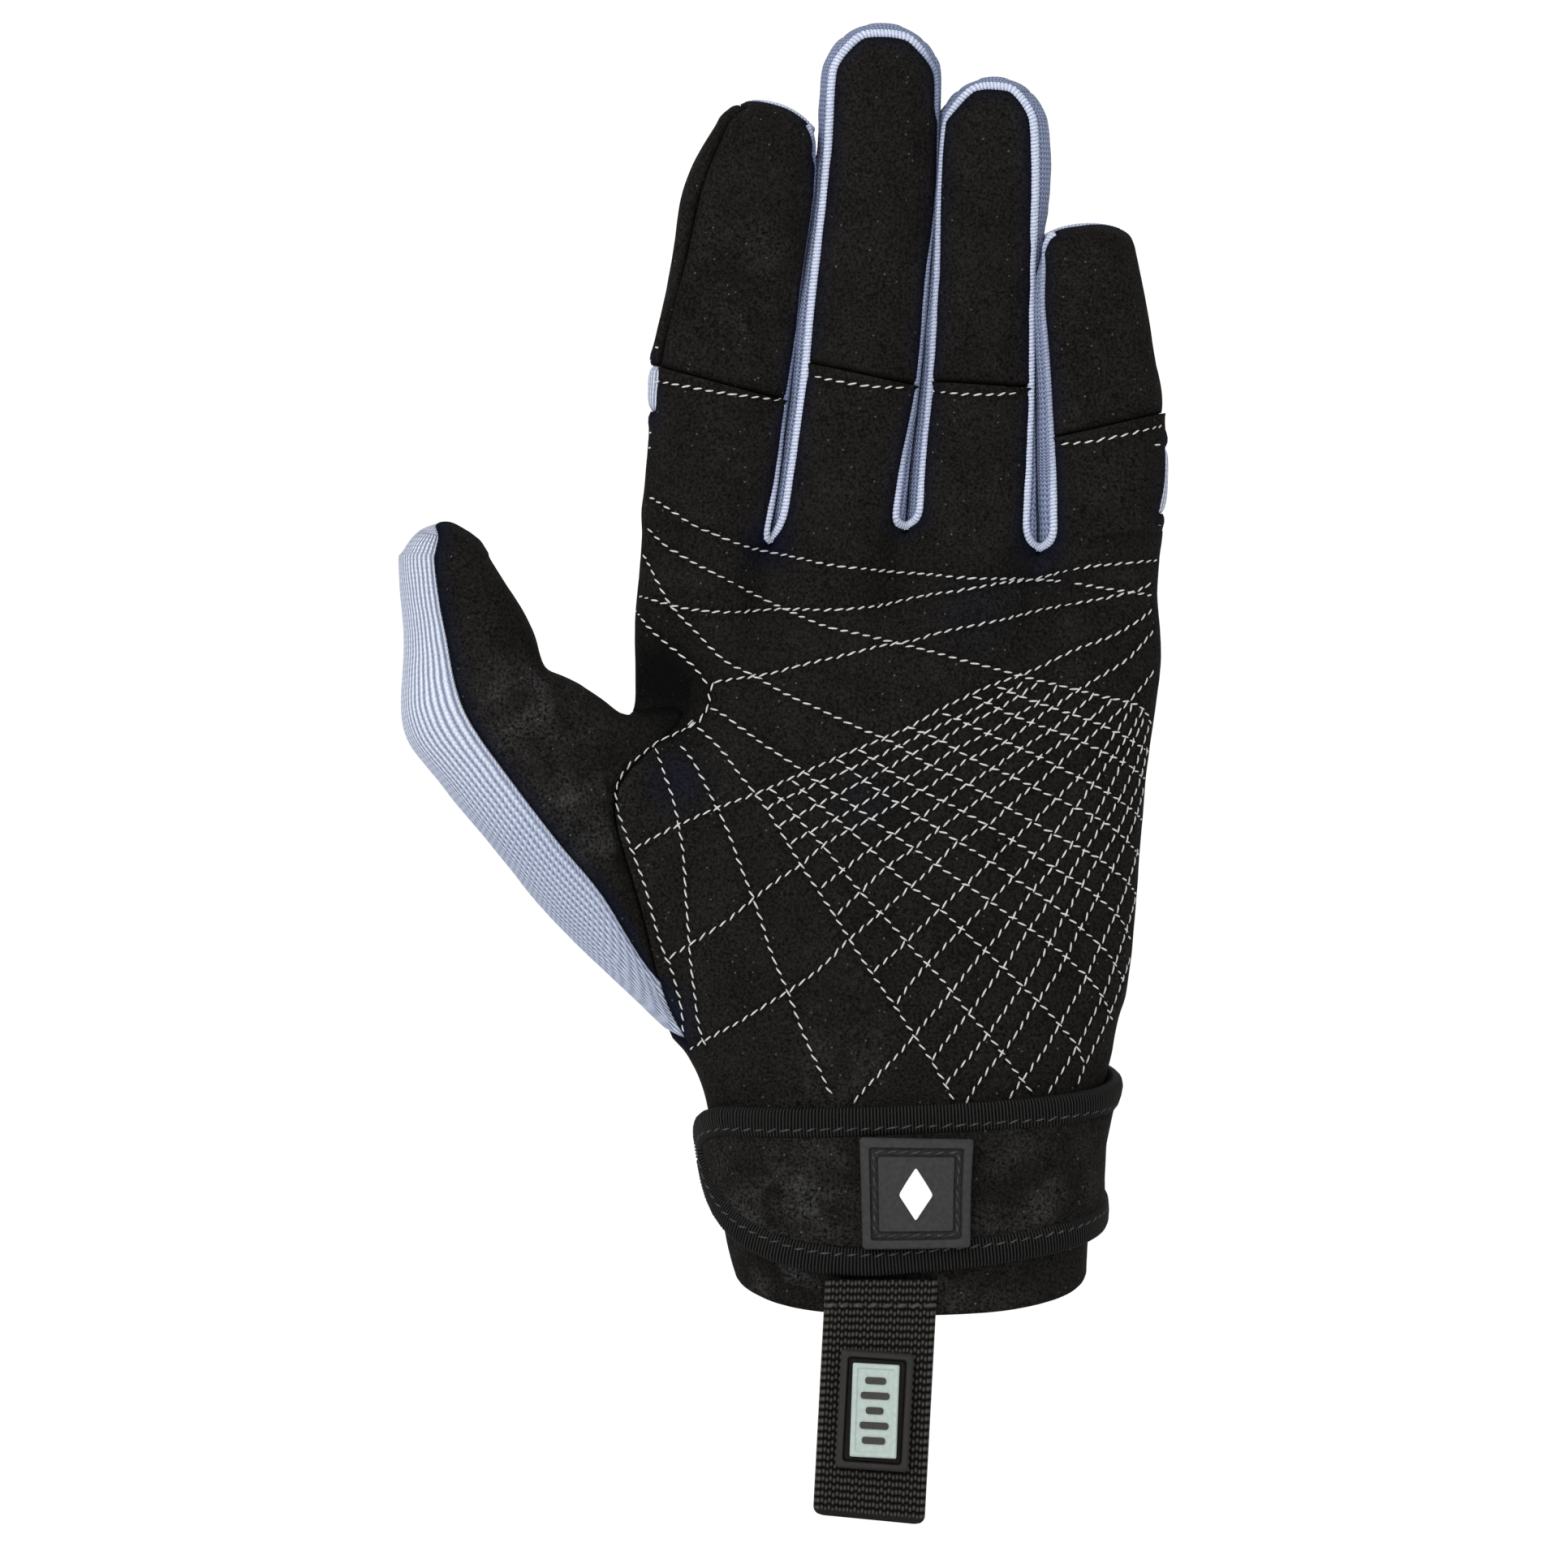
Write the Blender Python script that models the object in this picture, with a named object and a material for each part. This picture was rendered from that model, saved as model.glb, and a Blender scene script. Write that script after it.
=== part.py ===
"""A water ski glove for the left hand, size large, filled out as a hand fills it.

Metres, +Z up along the fingers, the palm facing -Y and the thumb towards -X. The origin is in the
middle of the wrist, at the height of the cuff's hem on the palm side. The shell is one quad cage of
palm, four fingers and thumb. Each panel of suede or knit is its own patch of that cage, given a wall.
"""

import math
from collections import namedtuple

import bmesh
import bpy
import numpy as np
from mathutils import Vector

MM = 0.001

# Driving dimensions of the hand that fills the glove
PALM_WIDTH = 96 * MM
PALM_HEIGHT = 143.5 * MM
PALM_DEPTH = 34 * MM
WRIST_WIDTH = 68 * MM
WRIST_DEPTH = 48 * MM
WRIST_LEAN = 7 * MM
FINGER_LENGTH = 95 * MM
FINGER_WIDTH = PALM_WIDTH * 15 / 64
FINGER_DEPTH = 20 * MM
FINGER_CURL = 7 * MM
THUMB_REACH = 46 * MM
THUMB_RISE = 93 * MM
THUMB_DEPTH = 25 * MM
THUMB_CURL = 5 * MM

# Cloth and seams
SUEDE_WALL = 1.6 * MM
KNIT_WALL = 1.2 * MM
SEAM_GAP = 0.3 * MM

# Wrist strap, its binding, and the clearance between it and the cuff. The strap's ends are turns
# round the wrist in degrees from the palm side. The tip of its free end is above its middle, and
# the roundings are the lengths over which it takes its full width there.
STRAP_WIDTH = 28.5 * MM
STRAP_THICKNESS = 2.2 * MM
STRAP_HEIGHT = 30 * MM
STRAP_SLOPE = 0.09
STRAP_CLEARANCE = 0.8 * MM
STRAP_FREE_END = -86
STRAP_SEWN_END = 236
STRAP_TIP_RISE = 6 * MM
STRAP_UPPER_ROUNDING = 10 * MM
STRAP_LOWER_ROUNDING = 38 * MM
STRAP_END_POWER = 1.8
BINDING_WIDTH = 5 * MM
BINDING_THICKNESS = 3.2 * MM
BINDING_CLEARANCE = 0.8 * MM
BINDING_SQUARENESS = 0.7

# Moulded patch on the strap
PATCH_WIDTH = 20.6 * MM
PATCH_HEIGHT = 19.8 * MM
PATCH_THICKNESS = 1.6 * MM
PATCH_OFFSET = 1.8 * MM
PATCH_RIM = 1.5 * MM
PATCH_CHANNEL = 0.7 * MM
PATCH_BEVEL = 0.3 * MM

# Webbing pull tab, sewn to the cuff under the strap, and the badge on it
TAB_WIDTH = 20.8 * MM
TAB_DROP = 37.5 * MM
TAB_SLANT = 2 * MM
TAB_THICKNESS = 2.6 * MM
TAB_BEVEL = 0.65 * MM
TAB_OFFSET = -5.2 * MM
TAB_SWAY = -2 * MM
BADGE_WIDTH = 14 * MM
BADGE_HEIGHT = 21.4 * MM
BADGE_THICKNESS = 1.8 * MM
BADGE_RIM = 2 * MM
BADGE_BEVEL = 0.3 * MM
BADGE_FLOOR = 0.5 * MM
BADGE_BELOW_HEM = 18 * MM
PLATE_THICKNESS = 1.5 * MM

# Numbers of faces, and where along the rounding of the strap's free end its rows are
FINGER_COLUMNS = 4
SIDE_COLUMNS = 4
FINGER_ROWS_BELOW_JOINT = 4
FINGER_ROWS_ABOVE_JOINT = 4
TIP_ROWS = 3
TIP_SUEDE_ROWS = 2
THUMB_KNIT_COLUMNS = 2
STRAP_STEPS = 46
STRAP_COLUMNS = 3
STRAP_END_SHARES = (0, 0.3, 0.65, 1)
BINDING_SIDES = 8
TAB_ROWS = 10

# Roundness of the sections, and the corners of their rings in degrees from the palm side
SECTION_SQUARENESS = 2.5
BODY_CORNER = 62
FINGER_ROOT_CORNER = 50
FINGER_BACK_CORNER = 50
FINGER_CAP_ANGLE = 48
FINGER_TOP_DEPTH = 0.92
THUMB_DOME = 0.50
THUMB_ROUNDNESS = 2.1
THUMB_PAD = 55
CROTCH_DEPTH = 0.42
CROTCH_ROUNDNESS = 0.6

# How walls and seams turn corners: a notch is where a panel's two edges fold back on each other
NOTCH_SHARE = 0.3
NOTCH_DEPTH = 3
CORNER_SPREAD = 0.5
CORNER_SOFTNESS = 0.05
CORNER_REACH = 1.7

# How finely directions are measured, and how often a place on a surface is refined
FINGER_STEP = 0.1
STRAP_TURN = 2
STRAP_END_TURN = 90
HALVINGS = 24
REFINEMENTS = 8

# One row for each level of the palm, from the hem to the finger crotches. height is a share of
# PALM_HEIGHT at the hand's sides. left, right: 0 is half the wrist's width and 1 half the palm's.
# front, back: 0 is half the wrist's depth and 1 half the palm's. lean is a share of WRIST_LEAN.
# tilt is how far the level drops towards the palm side.
Level = namedtuple("Level", "height left right front back lean tilt")
PALM_LEVELS = (
    Level(0.063, -0.10, -0.04, 0.03, 0.00, 1.00, 0.375),
    Level(0.118, 0.00, -0.02, -0.03, 0.00, 0.85, 0.375),
    Level(0.174, 0.07, -0.03, 0.04, 0.05, 0.68, 0.375),
    Level(0.230, 0.14, 0.00, 0.12, 0.15, 0.50, 0.375),
    Level(0.286, 0.24, 0.12, 0.25, 0.30, 0.32, 0.36),
    Level(0.328, 0.42, 0.24, 0.38, 0.45, 0.20, 0.30),
    Level(0.369, 0.73, 0.33, 0.50, 0.60, 0.10, 0.20),
    Level(0.397, 0.85, 0.40, 0.54, 0.68, 0.06, 0.15),
    Level(0.432, 0.98, 0.50, 0.56, 0.75, 0.03, 0.10),
    Level(0.523, 1.10, 0.58, 0.58, 0.90, 0.00, 0.00),
    Level(0.613, 1.34, 0.65, 0.66, 1.00, 0.00, 0.00),
    Level(0.690, 1.42, 0.72, 0.84, 1.08, 0.00, 0.00),
    Level(0.774, 1.18, 0.83, 1.05, 1.18, 0.00, 0.00),
    Level(0.857, 1.18, 0.92, 1.22, 1.30, 0.00, 0.00),
    Level(0.927, 1.14, 0.87, 1.42, 1.50, 0.00, 0.00),
    Level(1.000, 1.09, 0.95, 1.62, 1.70, 0.00, 0.00),
)

# Rows of that table: the cuff's upper edge, the thumb's foot and web, and the start of the
# valleys between the fingers
CUFF_TOP = 3
THUMB_FOOT = 6
THUMB_WEB = 12
SCALLOP_START = 12

# Shares of half the palm's width, and of PALM_HEIGHT for the lift of each crotch.
Crotch = namedtuple("Crotch", "across lift")
CROTCHES = (
    Crotch(-0.525, 0.000),
    Crotch(-0.003, 0.012),
    Crotch(0.508, -0.015),
)

# One row for each finger. length is a share of FINGER_LENGTH, joint is the pad's lower edge as a
# share of that length, and dome is the rounded tip's height as a share of the width there. pad and
# turn are half the pad's spread and its turn round the finger, in degrees.
Finger = namedtuple("Finger", "name length joint dome roundness pad turn")
FINGERS = (
    Finger("index", 0.842, 0.35, 0.48, 2.2, 63, 9),
    Finger("middle", 1.000, 0.30, 0.52, 2.1, 50, 4),
    Finger("ring", 0.895, 0.32, 0.53, 2.1, 51, -6),
    Finger("little", 0.605, 0.35, 0.42, 2.6, 67, 12),
)

# One row for each section of a finger. share is how far along the finger it is, centre is a share
# of half the palm's width, and width is a share of FINGER_WIDTH.
Section = namedtuple("Section", "share centre width")
FINGER_SECTIONS = {
    "index": (
        Section(0.00, -0.783, 1.07),
        Section(0.15, -0.746, 1.09),
        Section(0.37, -0.716, 1.17),
        Section(0.58, -0.668, 1.09),
        Section(0.79, -0.612, 1.05),
        Section(1.00, -0.505, 0.76),
    ),
    "middle": (
        Section(0.00, -0.265, 1.07),
        Section(0.13, -0.233, 1.04),
        Section(0.31, -0.190, 1.06),
        Section(0.48, -0.160, 1.06),
        Section(0.66, -0.125, 0.98),
        Section(1.00, -0.090, 0.99),
    ),
    "ring": (
        Section(0.00, 0.252, 1.05),
        Section(0.15, 0.260, 1.00),
        Section(0.34, 0.280, 0.91),
        Section(0.54, 0.292, 0.83),
        Section(0.62, 0.303, 0.85),
        Section(0.74, 0.332, 0.94),
        Section(1.00, 0.334, 0.86),
    ),
    "little": (
        Section(0.00, 0.745, 0.98),
        Section(0.21, 0.757, 1.06),
        Section(0.51, 0.733, 0.98),
        Section(0.80, 0.704, 0.87),
        Section(1.00, 0.690, 0.70),
    ),
}

# One row for each section of the thumb, from the palm to the tip: its outer and inner edges, out
# from the palm as shares of THUMB_REACH and up from the thumb's foot as shares of THUMB_RISE, and
# its depth as a share of THUMB_DEPTH.
ThumbSection = namedtuple("ThumbSection", "outer_out outer_up inner_out inner_up depth")
THUMB_SECTIONS = (
    ThumbSection(0.150, 0.103, 0.163, 0.645, 1.04),
    ThumbSection(0.352, 0.202, 0.228, 0.667, 1.04),
    ThumbSection(0.597, 0.341, 0.293, 0.688, 1.03),
    ThumbSection(0.825, 0.482, 0.365, 0.705, 1.02),
    ThumbSection(0.955, 0.567, 0.409, 0.720, 1.00),
    ThumbSection(0.991, 0.648, 0.437, 0.768, 0.97),
    ThumbSection(0.975, 0.753, 0.470, 0.817, 0.94),
    ThumbSection(0.985, 0.833, 0.525, 0.859, 0.90),
    ThumbSection(0.995, 0.906, 0.605, 0.912, 0.82),
)

# Each finish is a name, a colour and a roughness.
SUEDE = ("suede", (0.012, 0.012, 0.013), 0.95)
KNIT = ("knit", (0.33, 0.39, 0.60), 0.85)
TAPE = ("tape", (0.010, 0.010, 0.012), 0.75)
WEBBING = ("webbing", (0.014, 0.014, 0.014), 0.80)
RUBBER = ("rubber", (0.018, 0.018, 0.020), 0.60)
GREY_RUBBER = ("grey_rubber", (0.30, 0.38, 0.39), 0.55)

KNIT_PANELS = (
    "back_panel", "thumb_back", "fourchette_index_middle", "fourchette_middle_ring",
    "fourchette_ring_little",
)


def clear_scene():
    for obj in list(bpy.data.objects):
        bpy.data.objects.remove(obj)


def lerp(start, end, share):
    return start + (end - start) * share


def smooth(share):
    share = min(1, max(0, share))
    return share * share * (3 - 2 * share)


def signed_power(value, exponent):
    return math.copysign(abs(value) ** exponent, value)


def between(rows, place):
    """A row of a table at a place between its rows, which go up by their first column."""
    for below, above in zip(rows, rows[1:]):
        if place <= above[0]:
            break
    part = (place - below[0]) / (above[0] - below[0])
    return type(below)(*(lerp(low, high, part) for low, high in zip(below, above)))


def level_at(height):
    """The palm's level at a height."""
    return between(PALM_LEVELS, height / PALM_HEIGHT)


def body_size(level):
    """Left, right, front and back of the palm or wrist at a level, from its middle."""
    wide = (WRIST_WIDTH / 2, PALM_WIDTH / 2)
    deep = (WRIST_DEPTH / 2, PALM_DEPTH / 2)
    return (
        lerp(*wide, level.left), lerp(*wide, level.right),
        lerp(*deep, level.front), lerp(*deep, level.back),
    )


def body_point(level, angle, offset=0.0):
    """A point on the body at an angle from the palm side, positive towards the little finger."""
    left, right, front, back = body_size(level)
    sine, cosine = math.sin(math.radians(angle)), math.cos(math.radians(angle))
    power = 2 / SECTION_SQUARENESS
    x = ((right if sine > 0 else left) + offset) * signed_power(sine, power)
    y = -((front if cosine > 0 else back) + offset) * signed_power(cosine, power)
    z = level.height * PALM_HEIGHT + level.tilt * y
    return Vector((x, y + level.lean * WRIST_LEAN, z))


def body_angle(level, x, offset=0.0):
    """The angle at which the palm side of the body is at x."""
    left, right, _, _ = body_size(level)
    share = x / ((right if x > 0 else left) + offset)
    return math.degrees(math.asin(signed_power(share, SECTION_SQUARENESS / 2)))


class Cage:
    """The glove's outer surface as quads, each with the name of the panel it belongs to."""

    def __init__(self):
        self.points = []
        self.faces = []
        self.panels = []

    def add(self, point):
        self.points.append(Vector(point))
        return len(self.points) - 1

    def face(self, corners, panel):
        self.faces.append(tuple(corners))
        self.panels.append(panel)

    def strip(self, lower, upper, panel_of):
        """Joins two closed rings of points, but not where either has none. panel_of says which panel
        each face belongs to."""
        for step, start in enumerate(lower):
            after = (step + 1) % len(lower)
            corners = (start, lower[after], upper[after], upper[step])
            if None not in corners:
                self.face(corners, panel_of(step))


# Which panel the faces of a finger or the thumb belong to: side(step) round a ring, and
# tip(column, row) on its end.
Panels = namedtuple("Panels", "side tip")


def finger_centre(finger, share):
    """A point of a finger's centre line, and the direction across it."""
    length = finger.length * FINGER_LENGTH

    def place(at):
        across = between(FINGER_SECTIONS[finger.name], at).centre * PALM_WIDTH / 2
        return Vector((across, -FINGER_CURL * at * at, PALM_HEIGHT + at * length))

    along = place(min(1, share + FINGER_STEP)) - place(max(0, share - FINGER_STEP))
    return place(share), Vector((along.z, 0, -along.x)).normalized()


def ring_angles(front_from, front_to, back_half, front_columns):
    """Angles of a section's ring from the front's left corner round to the start again."""
    back_from, back_to = 180 - back_half, 180 + back_half
    spans = (
        (front_from, front_to, front_columns),
        (front_to, back_from, SIDE_COLUMNS),
        (back_from, back_to, front_columns),
        (back_to, 360 + front_from, SIDE_COLUMNS),
    )
    return [lerp(a, b, i / count) for a, b, count in spans for i in range(count)]


def section_ring(cage, centre, across, half_width, half_depth, angles):
    """One closed ring of points. across is a unit vector, and the depth is along Y."""
    power = 2 / SECTION_SQUARENESS
    ring = []
    for angle in angles:
        sine, cosine = math.sin(math.radians(angle)), math.cos(math.radians(angle))
        side = across * half_width * signed_power(sine, power)
        depth = Vector((0, -half_depth * signed_power(cosine, power), 0))
        ring.append(cage.add(centre + side + depth))
    return ring


def cap(cage, ring, columns, centre, across, sizes, panel_of):
    """Closes a ring with a grid. sizes are the full section's half width, half depth, the dome's
    height and its roundness."""
    half_width, half_depth, height, roundness = sizes
    along = Vector((-across.z, 0, across.x))
    sides = len(ring) // 2 - columns
    grid = [[None] * (columns + 1) for _ in range(sides + 1)]
    for i in range(columns + 1):
        grid[0][i] = ring[i]
        grid[sides][i] = ring[2 * columns + sides - i]
    for j in range(sides + 1):
        grid[j][columns] = ring[columns + j]
        grid[j][0] = ring[-j % len(ring)]
    points = cage.points
    for j in range(1, sides):
        for i in range(1, columns):
            u, v = i / columns, j / sides
            flat = (
                points[grid[j][0]].lerp(points[grid[j][columns]], u)
                + points[grid[0][i]].lerp(points[grid[sides][i]], v)
                - points[grid[0][0]].lerp(points[grid[0][columns]], u) * (1 - v)
                - points[grid[sides][0]].lerp(points[grid[sides][columns]], u) * v
            )
            away = flat - centre
            across_share = away.dot(across) / half_width
            radius = min(1, math.hypot(across_share, away.y / half_depth))
            rise = height * (1 - radius**roundness) ** (1 / roundness)
            grid[j][i] = cage.add(
                centre + across * away.dot(across) + Vector((0, away.y, 0)) + along * rise
            )
    for j in range(sides):
        for i in range(columns):
            corners = (grid[j][i], grid[j][i + 1], grid[j + 1][i + 1], grid[j + 1][i])
            cage.face(corners, panel_of(i, j))


def dome(cage, ring, columns, section, sizes, angles, panels):
    """The rounded end of a finger or the thumb: rings that shrink along an arc, and a cap."""
    centre, across = section
    half_width, half_depth, height, roundness = sizes
    along = Vector((-across.z, 0, across.x))
    for row in range(1, TIP_ROWS + 1):
        turn = math.radians(FINGER_CAP_ANGLE * row / TIP_ROWS)
        shrink = math.cos(turn) ** (2 / roundness)
        rise = along * height * math.sin(turn) ** (2 / roundness)
        upper = section_ring(
            cage, centre + rise, across, half_width * shrink, half_depth * shrink, angles
        )
        cage.strip(ring, upper, panels.side)
        ring = upper
    cap(cage, ring, columns, centre, across, sizes, panels.tip)


def palm_ring(cage, row):
    """One closed ring of the palm: front, right side, back and left side."""
    level = PALM_LEVELS[row]
    columns = FINGER_COLUMNS * len(FINGERS)
    left, right = body_point(level, -BODY_CORNER), body_point(level, BODY_CORNER)
    middle = level.lean * WRIST_LEAN
    shares = palm_shares()
    scallop = smooth((row - SCALLOP_START) / (len(PALM_LEVELS) - 1 - SCALLOP_START))
    front, back = [], []
    for i in range(columns + 1):
        angle = body_angle(level, lerp(left.x, right.x, shares[i]))
        lift = Vector((0, 0, crotch_lift(i) * scallop))
        front.append(body_point(level, angle) + lift)
        back.append(body_point(level, 180 - angle) + lift)
        squeeze = 1 - scallop * (1 - scallop_depth(i))
        front[-1].y = middle + (front[-1].y - middle) * squeeze
        back[-1].y = middle + (back[-1].y - middle) * squeeze
    side = [lerp(BODY_CORNER, 180 - BODY_CORNER, i / SIDE_COLUMNS) for i in range(1, SIDE_COLUMNS)]
    inside_thumb = THUMB_FOOT < row < THUMB_WEB
    ring = [cage.add(point) for point in front]
    ring += [cage.add(body_point(level, angle)) for angle in side]
    ring += [cage.add(point) for point in reversed(back)]
    ring += [
        None if inside_thumb else cage.add(body_point(level, -angle)) for angle in reversed(side)
    ]
    return ring


def palm_shares():
    """Where the palm's columns run, as shares of the distance between its two front corners."""
    last = PALM_LEVELS[-1]
    left, right = body_point(last, -BODY_CORNER).x, body_point(last, BODY_CORNER).x
    edges = [0.0, *((c.across * PALM_WIDTH / 2 - left) / (right - left) for c in CROTCHES), 1.0]
    shares = [0.0]
    for start, end in zip(edges, edges[1:]):
        shares += [lerp(start, end, i / FINGER_COLUMNS) for i in range(1, FINGER_COLUMNS + 1)]
    return shares


def crotch_lift(column):
    """How far the palm's top row rises or falls at a column."""
    lifts = [0.0, *(crotch.lift * PALM_HEIGHT for crotch in CROTCHES), 0.0]
    finger, part = divmod(column, FINGER_COLUMNS)
    if finger == len(FINGERS):
        return lifts[-1]
    return lerp(lifts[finger], lifts[finger + 1], part / FINGER_COLUMNS)


def scallop_depth(column):
    """The palm's depth between two fingers is less than at the middle of a finger's root."""
    if column in (0, FINGER_COLUMNS * len(FINGERS)):
        return 1.0
    part = column % FINGER_COLUMNS / FINGER_COLUMNS
    return lerp(CROTCH_DEPTH, 1.0, math.sin(math.pi * part) ** CROTCH_ROUNDNESS)


def add_palm(cage):
    """The palm and wrist. Returns the rings, and the points of each saddle between two fingers."""
    rings = [palm_ring(cage, row) for row in range(len(PALM_LEVELS))]
    columns = FINGER_COLUMNS * len(FINGERS)
    back_start = columns + SIDE_COLUMNS
    back_end = back_start + columns
    for row, (lower, upper) in enumerate(zip(rings, rings[1:])):

        def panel_of(step, row=row):
            if row < CUFF_TOP:
                return "cuff"
            return "back_panel" if back_start <= step < back_end else "palm_panel"

        cage.strip(lower, upper, panel_of)
    saddles = []
    for column in range(FINGER_COLUMNS, columns, FINGER_COLUMNS):
        front = cage.points[rings[-1][column]]
        back = cage.points[rings[-1][back_end - column]]
        saddles.append(
            [cage.add(front.lerp(back, i / SIDE_COLUMNS)) for i in range(1, SIDE_COLUMNS)]
        )
    return rings, saddles


def finger_panels(number, finger, row):
    """Which panel each face of one row of a finger belongs to."""
    columns, sides = FINGER_COLUMNS, SIDE_COLUMNS
    pad = f"{finger.name}_pad"
    names = [f.name for f in FINGERS]
    below_joint = row < FINGER_ROWS_BELOW_JOINT
    first, last = number == 0, number == len(FINGERS) - 1

    def side(step):
        if step < columns:
            return "palm_panel" if below_joint else pad
        if step < columns + sides:
            if not last:
                return f"fourchette_{finger.name}_{names[number + 1]}"
            if below_joint:
                return "back_panel" if row in (1, 2) else "palm_panel"
            return pad
        if step < 2 * columns + sides:
            return "back_panel"
        if not first:
            return f"fourchette_{names[number - 1]}_{finger.name}"
        if below_joint:
            return "back_panel" if row == FINGER_ROWS_BELOW_JOINT - 1 else "palm_panel"
        return "index_side"

    def tip(column, depth_row):
        if first or last:
            return pad if depth_row < TIP_SUEDE_ROWS else "back_panel"
        return "back_panel"

    return Panels(side, tip)


def add_finger(cage, number, base_ring):
    finger = FINGERS[number]
    columns = FINGER_COLUMNS
    length = finger.length * FINGER_LENGTH
    tip_width = FINGER_SECTIONS[finger.name][-1].width * FINGER_WIDTH
    dome_height = finger.dome * tip_width
    straight = 1 - dome_height / length
    below, above = FINGER_ROWS_BELOW_JOINT, FINGER_ROWS_ABOVE_JOINT
    shares = [finger.joint * i / below for i in range(1, below + 1)]
    shares += [lerp(finger.joint, straight, i / above) for i in range(1, above + 1)]
    ring = base_ring
    for row, share in enumerate(shares):
        turned = min(1, row / (below - 1))
        angles = ring_angles(
            lerp(-FINGER_ROOT_CORNER, finger.turn - finger.pad, turned),
            lerp(FINGER_ROOT_CORNER, finger.turn + finger.pad, turned),
            FINGER_BACK_CORNER, columns,
        )
        centre, across = finger_centre(finger, share)
        half_width = between(FINGER_SECTIONS[finger.name], share).width * FINGER_WIDTH / 2
        half_depth = FINGER_DEPTH / 2 * lerp(1, FINGER_TOP_DEPTH, share)
        upper = section_ring(cage, centre, across, half_width, half_depth, angles)
        cage.strip(ring, upper, finger_panels(number, finger, row).side)
        ring = upper
    dome(
        cage, ring, columns, (centre, across),
        (half_width, half_depth, dome_height, finger.roundness), angles,
        finger_panels(number, finger, len(shares)),
    )


def finger_base(rings, saddles, number):
    """The ring of points that a finger grows from, on the palm's top row and the saddles."""
    top = rings[-1]
    columns, sides = FINGER_COLUMNS, SIDE_COLUMNS
    total = columns * len(FINGERS)
    back_end = total + sides + total
    start = number * columns
    front = top[start : start + columns + 1]
    back = [top[back_end - start - i] for i in range(columns, -1, -1)]
    right = top[total + 1 : total + sides] if number == len(FINGERS) - 1 else saddles[number]
    left = top[back_end + 1 :] if number == 0 else saddles[number - 1][::-1]
    return [*front, *right, *back, *left]


def thumb_panels(columns):
    """The thumb's suede covers its pad and the side towards the palm, and knit the rest."""
    knit = THUMB_KNIT_COLUMNS

    def side(step):
        return "thumb_front" if knit <= step < columns + SIDE_COLUMNS else "thumb_back"

    def tip(column, depth_row):
        suede = column >= knit and depth_row < TIP_SUEDE_ROWS
        return "thumb_front" if suede else "thumb_back"

    return Panels(side, tip)


def add_thumb(cage, rings):
    columns = THUMB_WEB - THUMB_FOOT
    foot, web = rings[THUMB_FOOT], rings[THUMB_WEB]
    palm_columns = FINGER_COLUMNS * len(FINGERS)
    corner = 2 * palm_columns + SIDE_COLUMNS
    ring = [rings[row][0] for row in range(THUMB_FOOT, THUMB_WEB + 1)]
    ring += web[:corner:-1]
    ring += [rings[row][corner] for row in range(THUMB_WEB, THUMB_FOOT - 1, -1)]
    ring += foot[corner + 1 :]
    angles = ring_angles(-THUMB_PAD, THUMB_PAD, THUMB_PAD, columns)
    panels = thumb_panels(columns)
    foot_height = PALM_LEVELS[THUMB_FOOT].height * PALM_HEIGHT
    count = len(THUMB_SECTIONS)
    for number, row in enumerate(THUMB_SECTIONS, 1):
        curl = -THUMB_CURL * (number / count) ** 2
        outer = thumb_edge(row.outer_out, row.outer_up, foot_height, curl)
        inner = thumb_edge(row.inner_out, row.inner_up, foot_height, curl)
        centre = (outer + inner) / 2
        across = (inner - outer).normalized()
        half_width = (inner - outer).length / 2
        half_depth = row.depth * THUMB_DEPTH / 2
        upper = section_ring(cage, centre, across, half_width, half_depth, angles)
        cage.strip(ring, upper, panels.side)
        ring = upper
    sizes = (half_width, half_depth, 2 * half_width * THUMB_DOME, THUMB_ROUNDNESS)
    dome(cage, ring, columns, (centre, across), sizes, angles, panels)


def thumb_edge(out, up, foot_height, curl):
    return Vector((-PALM_WIDTH / 2 - out * THUMB_REACH, curl, foot_height + up * THUMB_RISE))


def glove_cage():
    cage = Cage()
    rings, saddles = add_palm(cage)
    for number in range(len(FINGERS)):
        add_finger(cage, number, finger_base(rings, saddles, number))
    add_thumb(cage, rings)
    return cage


def face_normal(points, corners):
    a, b, c, d = (points[i] for i in corners)
    return (c - a).cross(d - b)


def wall(panel):
    return KNIT_WALL if panel in KNIT_PANELS else SUEDE_WALL


def inner_points(cage):
    """The cage's points moved in by the wall. Each move is the one that best keeps the wall's
    thickness at all the faces that meet there."""
    count = len(cage.points)
    squares = np.zeros((count, 3, 3)) + np.eye(3) * CORNER_SOFTNESS
    sums = np.zeros((count, 3))
    thickness = [0.0] * count
    for corners, panel in zip(cage.faces, cage.panels):
        for turn, i in enumerate(corners):
            here = cage.points[i]
            after = cage.points[corners[(turn + 1) % 4]] - here
            before = cage.points[corners[turn - 1]] - here
            normal = np.array(after.cross(before).normalized())
            weight = after.angle(before)
            squares[i] += np.outer(normal, normal) * weight
            sums[i] += normal * weight
            thickness[i] = max(thickness[i], wall(panel))
    moves = np.linalg.solve(squares, sums[:, :, None])[:, :, 0]
    found = []
    for point, move, depth in zip(cage.points, moves, thickness):
        reach = min(1, CORNER_REACH / np.linalg.norm(move))
        found.append(point - Vector(move) * depth * reach)
    return found


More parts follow.
